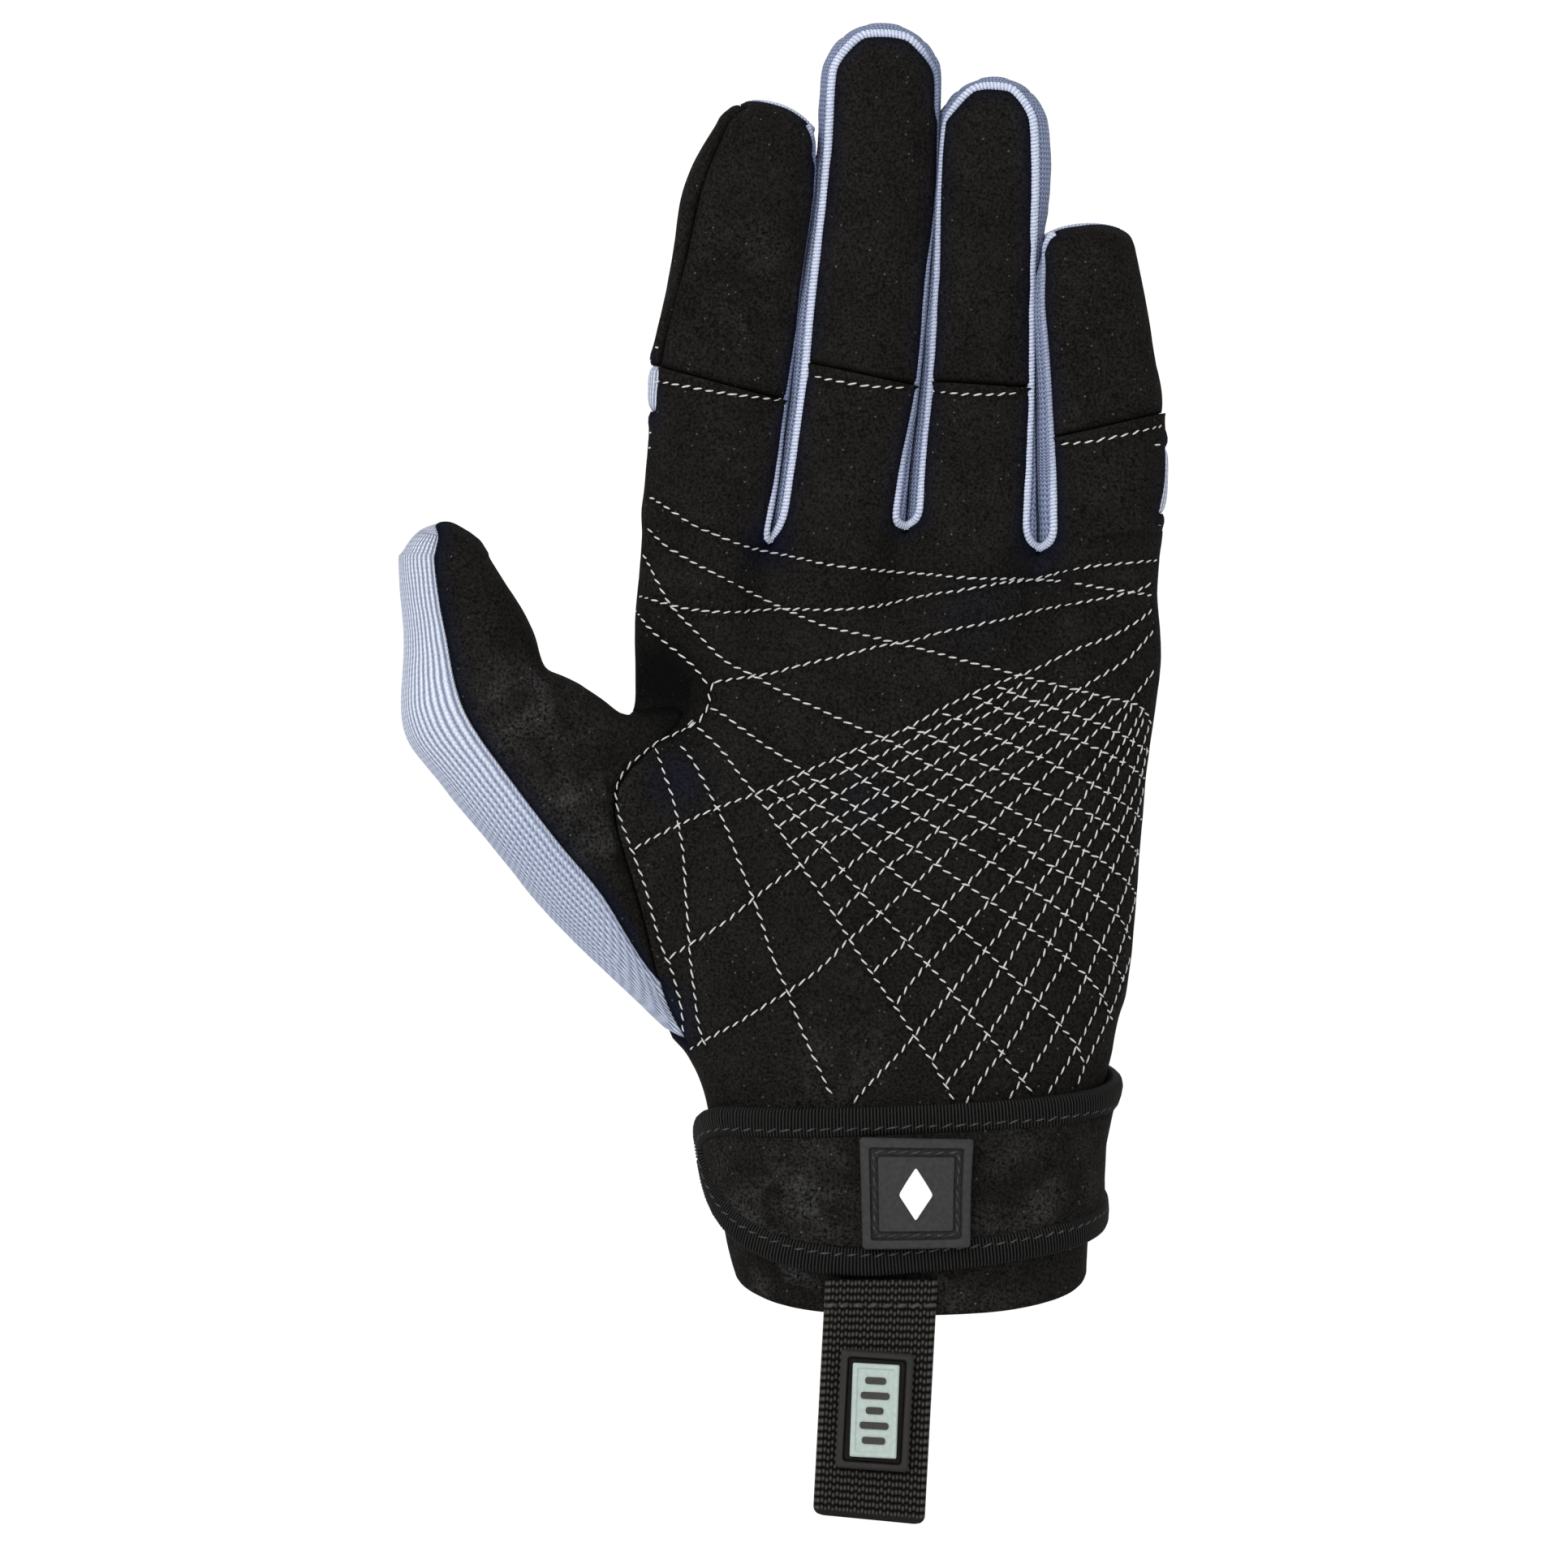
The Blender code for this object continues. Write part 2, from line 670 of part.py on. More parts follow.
def edge_shifts(cage, faces):
    """How far each point on a panel's edge moves into the panel to leave its half of a seam's gap."""
    owner = {}
    for corners in faces:
        for i, start in enumerate(corners):
            owner[start, corners[(i + 1) % 4]] = corners
    inward = {}
    for (start, end), corners in owner.items():
        if (end, start) in owner:
            continue
        along = (cage.points[end] - cage.points[start]).normalized()
        direction = face_normal(cage.points, corners).normalized().cross(along)
        inward.setdefault(start, []).append((direction, along))
        inward.setdefault(end, []).append((direction, -along))
    shifts = {}
    for i, found in inward.items():
        total = sum((direction for direction, _ in found), Vector())
        notch = total.length < NOTCH_SHARE * len(found)
        if notch:
            total = -sum((along for _, along in found), Vector())
        total.normalize()
        spread = sum(total.dot(direction) for direction, _ in found) / len(found)
        reach = NOTCH_DEPTH if notch else 1 / max(CORNER_SPREAD, spread)
        shifts[i] = total * reach * SEAM_GAP / 2
    return shifts


def add_object(name, finish, verts, faces):
    mesh = bpy.data.meshes.new(name)
    mesh.from_pydata([tuple(v) for v in verts], [], faces)
    mesh.validate()
    obj = bpy.data.objects.new(name, mesh)
    bpy.context.scene.collection.objects.link(obj)
    mesh.materials.append(material(*finish))
    return obj


def material(name, colour, roughness):
    found = bpy.data.materials.get(name)
    if found:
        return found
    made = bpy.data.materials.new(name)
    made.use_nodes = True
    shader = made.node_tree.nodes["Principled BSDF"]
    shader.inputs["Base Color"].default_value = (*colour, 1)
    shader.inputs["Roughness"].default_value = roughness
    shader.inputs["Metallic"].default_value = 0
    return made


def halves(quad, verts):
    """A quad as two triangles, split along its shorter diagonal."""
    a, b, c, d = quad
    if (verts[a] - verts[c]).length < (verts[b] - verts[d]).length:
        return [(a, b, c), (a, c, d)]
    return [(a, b, d), (b, c, d)]


def rim_faces(start, end, count):
    """Two triangles from a panel's outer edge to its inner one. Both panels at a seam split the
    rim along the same diagonal, so that their walls stay apart."""
    if start < end:
        return [(end, start, end + count), (start, start + count, end + count)]
    return [(end, start, start + count), (end, start + count, end + count)]


def add_panels(cage):
    """Each panel as a closed wall: its outer faces, its inner faces and a rim between them."""
    inside = inner_points(cage)
    for panel in sorted(set(cage.panels)):
        faces = [f for f, owner in zip(cage.faces, cage.panels) if owner == panel]
        shifts = edge_shifts(cage, faces)
        used = sorted({i for corners in faces for i in corners})
        number = {i: n for n, i in enumerate(used)}
        none = Vector()
        verts = [cage.points[i] + shifts.get(i, none) for i in used]
        verts += [inside[i] + shifts.get(i, none) for i in used]
        quads = [tuple(number[i] for i in corners) for corners in faces]
        edges = {(c[i], c[(i + 1) % 4]) for c in quads for i in range(4)}
        outer = [triangle for quad in quads for triangle in halves(quad, verts)]
        inner = [tuple(i + len(used) for i in reversed(triangle)) for triangle in outer]
        rim = []
        for a, b in sorted(edges):
            if (b, a) not in edges:
                rim += rim_faces(a, b, len(used))
        add_object(panel, KNIT if panel in KNIT_PANELS else SUEDE, verts, outer + inner + rim)


def strap_surface(angle, across):
    """A point of the strap's inner face: round the wrist, and across the strap's width."""
    tilt = level_at(STRAP_HEIGHT).tilt
    height = STRAP_HEIGHT + across
    for _ in range(REFINEMENTS):
        found = body_point(level_at(height), angle, STRAP_CLEARANCE)
        target = STRAP_HEIGHT + across + STRAP_SLOPE * found.x + tilt * (found.y - WRIST_LEAN / 2)
        height += target - found.z
    return found


def strap_frame(angle, across):
    """Directions at a point of the strap: round the wrist, up across its width, and out of it."""
    around = strap_surface(angle + STRAP_TURN, across) - strap_surface(angle - STRAP_TURN, across)
    upward = strap_surface(angle, across + MM) - strap_surface(angle, across - MM)
    outward = around.cross(upward).normalized()
    return around.normalized(), outward.cross(around).normalized(), outward


def strap_point(angle, across, out):
    """A point of the strap, out from its inner face."""
    return strap_surface(angle, across) + strap_frame(angle, across)[2] * out


def strap_reach(angle):
    """How far a place on the strap is from its free end."""
    return (strap_surface(angle, 0) - strap_surface(STRAP_FREE_END, 0)).length


def strap_angle(reach):
    """The angle at which the strap is that far from its free end."""
    low, high = STRAP_FREE_END, STRAP_FREE_END + STRAP_END_TURN
    for _ in range(HALVINGS):
        middle = (low + high) / 2
        low, high = (middle, high) if strap_reach(middle) < reach else (low, middle)
    return middle


def strap_outline(reach, side):
    """How far up the strap's width its edge is, at a distance from its free end. side is 1 or -1."""
    rounding = STRAP_UPPER_ROUNDING if side > 0 else STRAP_LOWER_ROUNDING
    left = min(1, max(0, 1 - reach / rounding))
    grown = (1 - left**STRAP_END_POWER) ** (1 / STRAP_END_POWER)
    return lerp(STRAP_TIP_RISE, side * STRAP_WIDTH / 2, grown)


def strap_edge(angle, inset, side):
    """How far up the strap's width a line is that keeps an inset from its edge."""
    reach = strap_reach(angle)
    edge = strap_outline(reach, side)
    slope = (strap_outline(reach + MM, side) - edge) / MM
    inner = edge - side * inset * math.hypot(1, slope)
    return side * max(side * inner, side * STRAP_TIP_RISE)


def strap_rows(inset):
    """Angles round the strap from its free end, closer together where the end is rounded."""
    close = [strap_angle(lerp(inset, STRAP_UPPER_ROUNDING, share)) for share in STRAP_END_SHARES]
    steps = range(1, STRAP_STEPS + 1)
    return close + [lerp(close[-1], STRAP_SEWN_END, step / STRAP_STEPS) for step in steps]


def add_strap():
    """The strap's suede, inside its binding, as a closed band with a wall."""
    inset = BINDING_WIDTH + BINDING_CLEARANCE
    shares = [column / STRAP_COLUMNS for column in range(STRAP_COLUMNS + 1)]
    rows = []
    for angle in strap_rows(inset):
        lower, upper = strap_edge(angle, inset, -1), strap_edge(angle, inset, 1)
        if upper - lower > BINDING_WIDTH:
            row = [strap_point(angle, lerp(lower, upper, share), 0) for share in shares]
            row += [strap_point(angle, lerp(upper, lower, share), STRAP_THICKNESS) for share in shares]
            rows.append(row)
    return add_rod("wrist_strap", SUEDE, rows)


def add_binding():
    """Elastic tape folded over the strap's edge, all round its free end, with a rounded section."""
    inset = BINDING_WIDTH / 2
    angles = strap_rows(inset)
    route = [(a, strap_edge(a, inset, -1)) for a in reversed(angles)]
    route += [(a, strap_edge(a, inset, 1)) for a in angles]
    centres = [strap_point(a, across, STRAP_THICKNESS / 2) for a, across in route]
    rows = []
    for i, (angle, across) in enumerate(route):
        along = centres[min(i + 1, len(centres) - 1)] - centres[max(i - 1, 0)]
        outward = strap_frame(angle, across)[2]
        sideways = outward.cross(along).normalized()
        row = []
        for step in range(BINDING_SIDES):
            turn = 2 * math.pi * (step + 0.5) / BINDING_SIDES
            row.append(
                centres[i]
                + sideways * BINDING_WIDTH / 2 * signed_power(math.cos(turn), BINDING_SQUARENESS)
                + outward * BINDING_THICKNESS / 2 * signed_power(math.sin(turn), BINDING_SQUARENESS)
            )
        rows.append(row)
    return add_rod("strap_binding", TAPE, rows)


def add_rod(name, finish, rows):
    """A solid through closed rows of points, capped at both ends. Each row turns anticlockwise as
    seen from the end that the rows lead to."""
    count = len(rows[0])
    faces = []
    for row in range(len(rows) - 1):
        for i in range(count):
            j = (i + 1) % count
            a = row * count
            faces.append((a + i, a + j, a + j + count, a + i + count))
    faces.append(tuple(range(count))[::-1])
    last = (len(rows) - 1) * count
    faces.append(tuple(range(last, last + count)))
    return add_object(name, finish, [point for row in rows for point in row], faces)


def on_strap(x, up, out):
    """The place on the strap's front of a flat pattern's point: x across, up, and out from it."""
    angle = body_angle(level_at(STRAP_HEIGHT), x, STRAP_CLEARANCE + STRAP_THICKNESS)
    return strap_point(angle, up, STRAP_THICKNESS + out)


def moulded_block(name, finish, size, steps, place):
    """A moulded piece from a flat rectangle. steps are insets and heights from its edge inwards, and
    place puts each flat point, with its height, on what carries the piece."""
    width, height = size
    mesh = bpy.data.meshes.new(name)
    shape = bmesh.new()
    corners = [(-width / 2, -height / 2), (width / 2, -height / 2), (width / 2, height / 2)]
    corners.append((-width / 2, height / 2))
    base = shape.faces.new([shape.verts.new((x, 0, z)) for x, z in corners])
    bmesh.ops.subdivide_edges(shape, edges=base.edges, cuts=2, use_grid_fill=True)
    bottom = list(shape.faces)
    wall = bmesh.ops.extrude_face_region(shape, geom=bottom)
    top = [f for f in wall["geom"] if isinstance(f, bmesh.types.BMFace)]
    bmesh.ops.reverse_faces(shape, faces=bottom)
    lift(top, steps[0][1])
    for inset, rise in steps[1:]:
        bmesh.ops.inset_region(shape, faces=top, thickness=inset, use_even_offset=True)
        lift(top, rise)
    for vert in shape.verts:
        vert.co = place(vert.co.x, vert.co.z, -vert.co.y)
    bmesh.ops.recalc_face_normals(shape, faces=shape.faces)
    shape.to_mesh(mesh)
    shape.free()
    obj = bpy.data.objects.new(name, mesh)
    bpy.context.scene.collection.objects.link(obj)
    mesh.materials.append(material(*finish))
    return obj


def lift(faces, height):
    """Moves faces of a flat block to a height above its base, which is towards -Y."""
    for vert in {v for face in faces for v in face.verts}:
        vert.co.y = -height


def add_size_patch():
    """A moulded square over the strap's binding: a raised rim, a sewn channel, a raised middle."""
    channel = PATCH_THICKNESS / 2
    steps = (
        (0, PATCH_THICKNESS), (PATCH_RIM, PATCH_THICKNESS), (PATCH_BEVEL, channel),
        (PATCH_CHANNEL, channel), (PATCH_BEVEL, PATCH_THICKNESS),
    )
    base = (BINDING_THICKNESS - STRAP_THICKNESS) / 2 + SEAM_GAP

    def place(x, up, out):
        return on_strap(PATCH_OFFSET + x, up, base + out)

    return moulded_block("size_patch", RUBBER, (PATCH_WIDTH, PATCH_HEIGHT), steps, place)


def hem_front():
    """The lowest point of the hem, on the palm side."""
    return body_point(PALM_LEVELS[0], 0)


def tab_top():
    """The height of the tab's upper end, just under the strap's binding."""
    side = TAB_OFFSET - TAB_WIDTH / 2
    edge = strap_point(body_angle(level_at(STRAP_HEIGHT), side), -STRAP_WIDTH / 2, 0)
    return edge.z - SEAM_GAP


def tab_back(x, z):
    """The tab's back: against the cuff down to the hem, and then straight down."""
    hem = PALM_LEVELS[0].height * PALM_HEIGHT
    height = hem
    for _ in range(REFINEMENTS):
        level = level_at(height)
        front = body_point(level, body_angle(level, x), SEAM_GAP)
        height = max(hem, height + z - front.z)
    return min(front.y, body_point(PALM_LEVELS[0], 0, SEAM_GAP).y)


def tab_point(x, z, out):
    """A point of the tab: across it, at a height, and out from its back."""
    sway = TAB_SWAY * (hem_front().z - z) / TAB_DROP
    y = min(tab_back(TAB_OFFSET - TAB_WIDTH / 2, z), tab_back(TAB_OFFSET + TAB_WIDTH / 2, z))
    y = min(y, tab_back(0, z))
    return Vector((TAB_OFFSET + sway + x, y - out, z))


def add_pull_tab():
    top, bottom = tab_top(), hem_front().z - TAB_DROP
    side, front = TAB_WIDTH / 2, TAB_THICKNESS
    flat, edge = side - TAB_BEVEL, front - TAB_BEVEL
    outline = (
        (-side, TAB_BEVEL), (-flat, 0), (flat, 0), (side, TAB_BEVEL),
        (side, edge), (flat, front), (-flat, front), (-side, edge),
    )
    rows = []
    for row in range(TAB_ROWS + 1):
        share = row / TAB_ROWS
        slant = TAB_SLANT * share / TAB_WIDTH
        rows.append([tab_point(x, lerp(top, bottom, share) - x * slant, out) for x, out in outline])
    return add_rod("pull_tab", WEBBING, rows)


def on_tab(x, up, out):
    """The place on the tab of a point of the badge, from the badge's middle."""
    return tab_point(x, hem_front().z - BADGE_BELOW_HEM + up, TAB_THICKNESS + out)


def add_badge():
    """A moulded frame on the tab, and the plate that sits in its recess."""
    steps = ((0, BADGE_THICKNESS), (BADGE_RIM, BADGE_THICKNESS), (BADGE_BEVEL, BADGE_FLOOR))

    def place(x, up, out):
        return on_tab(x, up, SEAM_GAP + out)

    moulded_block("tab_badge", RUBBER, (BADGE_WIDTH, BADGE_HEIGHT), steps, place)
    margin = 2 * (BADGE_RIM + 2 * SEAM_GAP)
    size = (BADGE_WIDTH - margin, BADGE_HEIGHT - margin)

    def place_plate(x, up, out):
        return on_tab(x, up, 2 * SEAM_GAP + BADGE_FLOOR + out)

    plate_steps = ((0, PLATE_THICKNESS - BADGE_BEVEL), (BADGE_BEVEL, PLATE_THICKNESS))
    moulded_block("badge_plate", GREY_RUBBER, size, plate_steps, place_plate)


def main():
    clear_scene()
    add_panels(glove_cage())
    add_strap()
    add_binding()
    add_size_patch()
    add_pull_tab()
    add_badge()


main()
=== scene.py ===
"""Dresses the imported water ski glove: suede, ribbed knit, seams, stitches, strap and pull tab.

Metres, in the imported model's own frame: +Z up along the fingers, the palm facing -Y, the thumb
towards -X. The shell is one quad cage that is subdivided, given its seams and folds as
displacement, and then cut into its panels of suede and knit.
"""

import math
from collections import namedtuple
from itertools import product

import bmesh
import bpy
import numpy as np
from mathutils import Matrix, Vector, kdtree, noise
from mathutils.bvhtree import BVHTree


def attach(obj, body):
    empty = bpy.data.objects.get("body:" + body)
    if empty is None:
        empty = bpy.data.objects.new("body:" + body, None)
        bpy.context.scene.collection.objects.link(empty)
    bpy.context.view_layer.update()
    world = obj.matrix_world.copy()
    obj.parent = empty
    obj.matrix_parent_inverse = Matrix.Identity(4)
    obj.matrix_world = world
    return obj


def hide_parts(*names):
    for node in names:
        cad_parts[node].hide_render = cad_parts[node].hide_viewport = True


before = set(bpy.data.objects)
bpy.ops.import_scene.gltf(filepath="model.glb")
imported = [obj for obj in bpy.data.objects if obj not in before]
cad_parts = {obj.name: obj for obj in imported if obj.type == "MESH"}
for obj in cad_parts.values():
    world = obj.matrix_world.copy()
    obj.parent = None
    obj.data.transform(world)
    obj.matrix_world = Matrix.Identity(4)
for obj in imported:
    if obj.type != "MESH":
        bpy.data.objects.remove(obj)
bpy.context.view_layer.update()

MM = 0.001
TINY = 1e-9

# The camera, the bright room, its soft lamp and its floor
CAMERA_PLACE = (-0.0228, -5.2, 0.1)
CAMERA_LENS = 646
CAMERA_SENSOR = 36
CAMERA_NEAR = 0.05
CAMERA_FAR = 100
ROOM_STRENGTH = 1.08
LAMP_SIZE = 1.2
LAMP_ENERGY = 14
LAMP_PLACE = (-0.8, -1.2, 0.9)
LAMP_TARGET = (0, 0, 0.1)
FLOOR_HEIGHT = -0.06
FLOOR_SIZE = 60
FLOOR_DARK = (0.94, 0.94, 0.94, 1)
FLOOR_LIGHT = (0.97, 0.97, 0.97, 1)
FLOOR_ROUGHNESS = 0.9
FLOOR_GLOSS = 0.1
FLOOR_GRAIN = 0.2
FLOOR_GRAIN_DEPTH = FLOOR_GRAIN / 100

# Driving dimensions of the hand that fills the glove
PALM_WIDTH = 96 * MM
PALM_HEIGHT = 143.5 * MM
PALM_DEPTH = 34 * MM
WRIST_WIDTH = 68 * MM
WRIST_DEPTH = 48 * MM
WRIST_LEAN = 7 * MM
FINGER_LENGTH = 95 * MM
FINGER_WIDTH = PALM_WIDTH * 15 / 64
FINGER_DEPTH = 20 * MM
FINGER_CURL = 7 * MM
THUMB_REACH = 46 * MM
THUMB_RISE = 93 * MM
THUMB_DEPTH = 25 * MM
THUMB_CURL = 5 * MM

# Cloth walls, and the gap between two panels
SUEDE_WALL = 1.6 * MM
KNIT_WALL = 1.2 * MM
SEAM_GAP = 0.12 * MM
KNIT_PANELS = (
    "back_panel", "thumb_back", "fourchette_index_middle", "fourchette_middle_ring",
    "fourchette_ring_little",
)
LIMBS = ("palm", "index", "middle", "ring", "little", "thumb")

# How finely the cage is divided, and how often it is moved out to meet the sizes
SHELL_LEVELS = 3
OUTLINE_ROUNDS = 2

# Numbers of faces, and the rows of a finger's root that have a flex band at its side
FINGER_COLUMNS = 4
SIDE_COLUMNS = 4
FINGER_ROWS_ABOVE_JOINT = 5
TIP_ROWS = 3
TIP_SUEDE_ROWS = 2
THUMB_KNIT_COLUMNS = 2
FLEX_ROWS = {"index": (4,), "little": (2, 3)}

# Knit laid flat, in millimetres: its ribs, their stitches, and the cage's faces
RIB_PITCH = 1.1
STITCH_ROW = 0.8
COLUMN_FLAT = 4 * RIB_PITCH
CAP_ROW_FLAT = 3 * RIB_PITCH

# Squareness of the sections, and corners of their rings in degrees from the palm side
SECTION_SQUARENESS = 2.5
BODY_CORNER = 62
FINGER_BACK_CORNER = 50
THUMB_PAD = 55
PAD_LIMIT = 0.985

# Rounded ends of the fingers and the thumb
FINGER_CAP_ANGLE = 48
FINGER_TOP_DEPTH = 0.92
THUMB_DOME = 0.43
THUMB_ROUNDNESS = 1.5

# The palm's depth between two fingers, as a share, and how round it grows to a finger's
CROTCH_DEPTH = 0.42
CROTCH_ROUNDNESS = 0.6

# How far along a finger its direction is measured
FINGER_STEP = 0.1

# Rings below a finger's joint, as shares of its height, the first close above the crotch
ROOT_SHARES = (0.09, 0.25, 0.50, 0.75, 1.0)

# How much of the joint's slope the ring there and the rings next to it have
JOINT_SLOPES = {-1: 0.5, 0: 1.0, 1: 0.5}

# A finger's first rings: their shares of the crotches' lifts and of its depth
ROOT_LIFTS = (1.0, 0.5)
ROOT_DEPTHS = (1.14, 1.06)

# One row for each level of the palm, from the hem to the finger crotches. height is a share of
# PALM_HEIGHT at the hand's sides. left, right: 0 is half the wrist's width and 1 half the palm's.
# front, back: 0 is half the wrist's depth and 1 half the palm's. lean is a share of WRIST_LEAN. tilt
# is how far the level drops towards the palm side. edge moves the palm's seam with the thumb, in
# shares of half the palm's width.
Level = namedtuple("Level", "height left right front back lean tilt edge")
PALM_LEVELS = (
    Level(0.063, -0.15, -0.06, 0.03, 0.00, 1.00, 0.375, 0),
    Level(0.118, 0.00, -0.02, -0.03, 0.00, 0.85, 0.375, 0),
    Level(0.174, 0.07, -0.03, 0.04, 0.05, 0.68, 0.375, 0),
    Level(0.230, 0.14, 0.00, 0.12, 0.15, 0.50, 0.375, 0),
    Level(0.286, 0.24, 0.12, 0.25, 0.30, 0.32, 0.36, 0),
    Level(0.328, 0.42, 0.24, 0.38, 0.45, 0.20, 0.30, 0),
    Level(0.369, 0.73, 0.33, 0.50, 0.60, 0.10, 0.20, -0.02),
    Level(0.397, 0.85, 0.40, 0.54, 0.68, 0.06, 0.15, -0.04),
    Level(0.432, 0.98, 0.50, 0.56, 0.75, 0.03, 0.10, -0.05),
    Level(0.523, 1.10, 0.58, 0.58, 0.90, 0.00, 0.00, -0.095),
    Level(0.613, 1.34, 0.65, 0.66, 1.00, 0.00, 0.00, -0.12),
    Level(0.690, 1.42, 0.72, 0.84, 1.08, 0.00, 0.00, -0.095),
    Level(0.774, 1.18, 0.83, 1.05, 1.18, 0.00, 0.00, 0.13),
    Level(0.857, 1.18, 0.92, 1.22, 1.30, 0.00, 0.00, 0),
    Level(0.927, 1.14, 0.87, 1.42, 1.50, 0.00, 0.00, 0),
    Level(1.000, 1.09, 0.95, 1.62, 1.70, 0.00, 0.00, 0),
)

# Rows of PALM_LEVELS. The palm narrows between the fingers from SCALLOP_START on.
CUFF_TOP = 3
THUMB_FOOT = 6
THUMB_WEB = 12
SCALLOP_START = 12

# Shares of half the palm's width, and of PALM_HEIGHT for the lift of each crotch
Crotch = namedtuple("Crotch", "across lift")
CROTCHES = (
    Crotch(-0.525, -0.006),
    Crotch(-0.003, 0.011),
    Crotch(0.508, -0.018),
)

# One row for each finger. length is a share of FINGER_LENGTH, joint is the pad's lower edge as a share
# of that length, slope is how much it rises towards the little finger, and dome is the rounded tip's
# height as a share of the width there. arch is 1 where the pad ends in an arch below a band of knit.
# pipe_left and pipe_right are from 0, thin piping painted dark as shade along that side of the pad,
# to 1, thick piping painted pale as lit. pipe_lean is 1 or -1 where the piping over the tip is painted
# lit on its right or left half only.
Finger = namedtuple(
    "Finger", "name length joint slope dome roundness arch pipe_left pipe_right pipe_lean",
)
FINGERS = (
    Finger("index", 0.842, 0.355, -0.17, 0.48, 2.1, 0, 0.0, 0.1, 1),
    Finger("middle", 1.000, 0.318, -0.12, 0.52, 2.1, 1, 1.0, 0.25, 0),
    Finger("ring", 0.895, 0.332, -0.02, 0.53, 2.05, 1, 0.7, 1.0, 0),
    Finger("little", 0.605, 0.355, 0.17, 0.42, 2.6, 0, 0.4, 0.0, -1),
)

# One row for each section of a finger. share is how far along the finger it is. centre and the pad's
# two edges are shares of half the palm's width, and width is a share of FINGER_WIDTH.
Section = namedtuple("Section", "share centre width pad_left pad_right")
FINGER_SECTIONS = {
    "index": (
        Section(0.00, -0.783, 1.07, -0.985, -0.575),
        Section(0.15, -0.746, 1.09, -0.990, -0.520),
        Section(0.37, -0.716, 1.17, -0.960, -0.478),
        Section(0.58, -0.668, 1.09, -0.882, -0.420),
        Section(0.79, -0.612, 1.06, -0.800, -0.372),
        Section(1.00, -0.495, 0.72, -0.650, -0.355),
    ),
    "middle": (
        Section(0.00, -0.265, 1.07, -0.475, -0.065),
        Section(0.13, -0.233, 1.04, -0.430, -0.043),
        Section(0.31, -0.190, 1.06, -0.377, 0.021),
        Section(0.48, -0.160, 1.06, -0.350, 0.052),
        Section(0.66, -0.125, 0.98, -0.306, 0.088),
        Section(1.00, -0.090, 0.99, -0.270, 0.118),
    ),
    "ring": (
        Section(0.00, 0.252, 1.05, 0.055, 0.438),
        Section(0.15, 0.260, 1.00, 0.073, 0.448),
        Section(0.34, 0.280, 0.91, 0.104, 0.458),
        Section(0.54, 0.292, 0.83, 0.126, 0.458),
        Section(0.62, 0.303, 0.85, 0.130, 0.468),
        Section(0.74, 0.332, 0.94, 0.140, 0.481),
        Section(1.00, 0.334, 0.86, 0.172, 0.470),
    ),
    "little": (
        Section(0.00, 0.745, 0.98, 0.574, 0.940),
        Section(0.21, 0.757, 1.06, 0.575, 1.000),
        Section(0.51, 0.733, 0.98, 0.555, 0.990),
        Section(0.80, 0.704, 0.87, 0.528, 0.920),
        Section(1.00, 0.690, 0.70, 0.560, 0.860),
    ),
}

# An arched pad's width at each ring of the tip, as shares, and the rise of the last one's middle
TIP_NARROWING = (0.97, 0.86, 0.66)
TIP_ARCH = 0.5 * MM

# Where two fingers touch: heights above the palm as shares of FINGER_LENGTH, and places across as
# shares of half the palm's width
CONTACTS = (
    ((0.0, 0.129, 0.307, 0.484, 0.661, 0.75), (-0.525, -0.483, -0.435, -0.406, -0.360, -0.356)),
    ((0.0, 0.129, 0.307, 0.484, 0.661, 0.837), (-0.003, 0.017, 0.060, 0.092, 0.110, 0.135)),
    ((0.0, 0.129, 0.307, 0.484, 0.560, 0.600), (0.508, 0.504, 0.500, 0.485, 0.525, 0.565)),
)

# How fingers that touch flatten each other. Their contact waves, so that no light passes between them.
CONTACT_FROM = -0.035
CONTACT_FADE = 0.03
FINGER_GAP = 0.04 * MM
FINGER_PRESS = 0.55 * MM
FINGER_PRESS_REACH = 2.5 * MM
CONTACT_WAVE = 0.5 * MM
CONTACT_WAVE_REACH = 3.2 * MM

# One row for each section of the thumb, from the palm to the tip: its outer and inner edges, out from
# the palm as shares of THUMB_REACH and up from the thumb's foot as shares of THUMB_RISE, its depth as
# a share of THUMB_DEPTH, and where the suede's edge is, from -1 at the outer edge to 1
ThumbSection = namedtuple("ThumbSection", "outer_out outer_up inner_out inner_up depth seam")
THUMB_SECTIONS = (
    ThumbSection(0.150, 0.103, 0.163, 0.645, 1.04, -0.47),
    ThumbSection(0.352, 0.202, 0.228, 0.667, 1.04, -0.4),
    ThumbSection(0.597, 0.341, 0.293, 0.688, 1.03, -0.33),
    ThumbSection(0.825, 0.482, 0.365, 0.705, 1.02, -0.26),
    ThumbSection(0.955, 0.567, 0.418, 0.722, 1.00, -0.17),
    ThumbSection(0.991, 0.648, 0.445, 0.768, 0.97, -0.21),
    ThumbSection(0.978, 0.753, 0.487, 0.817, 0.94, -0.3),
    ThumbSection(0.988, 0.840, 0.540, 0.862, 0.90, -0.32),
    ThumbSection(1.000, 0.927, 0.630, 0.927, 0.78, -0.2),
)

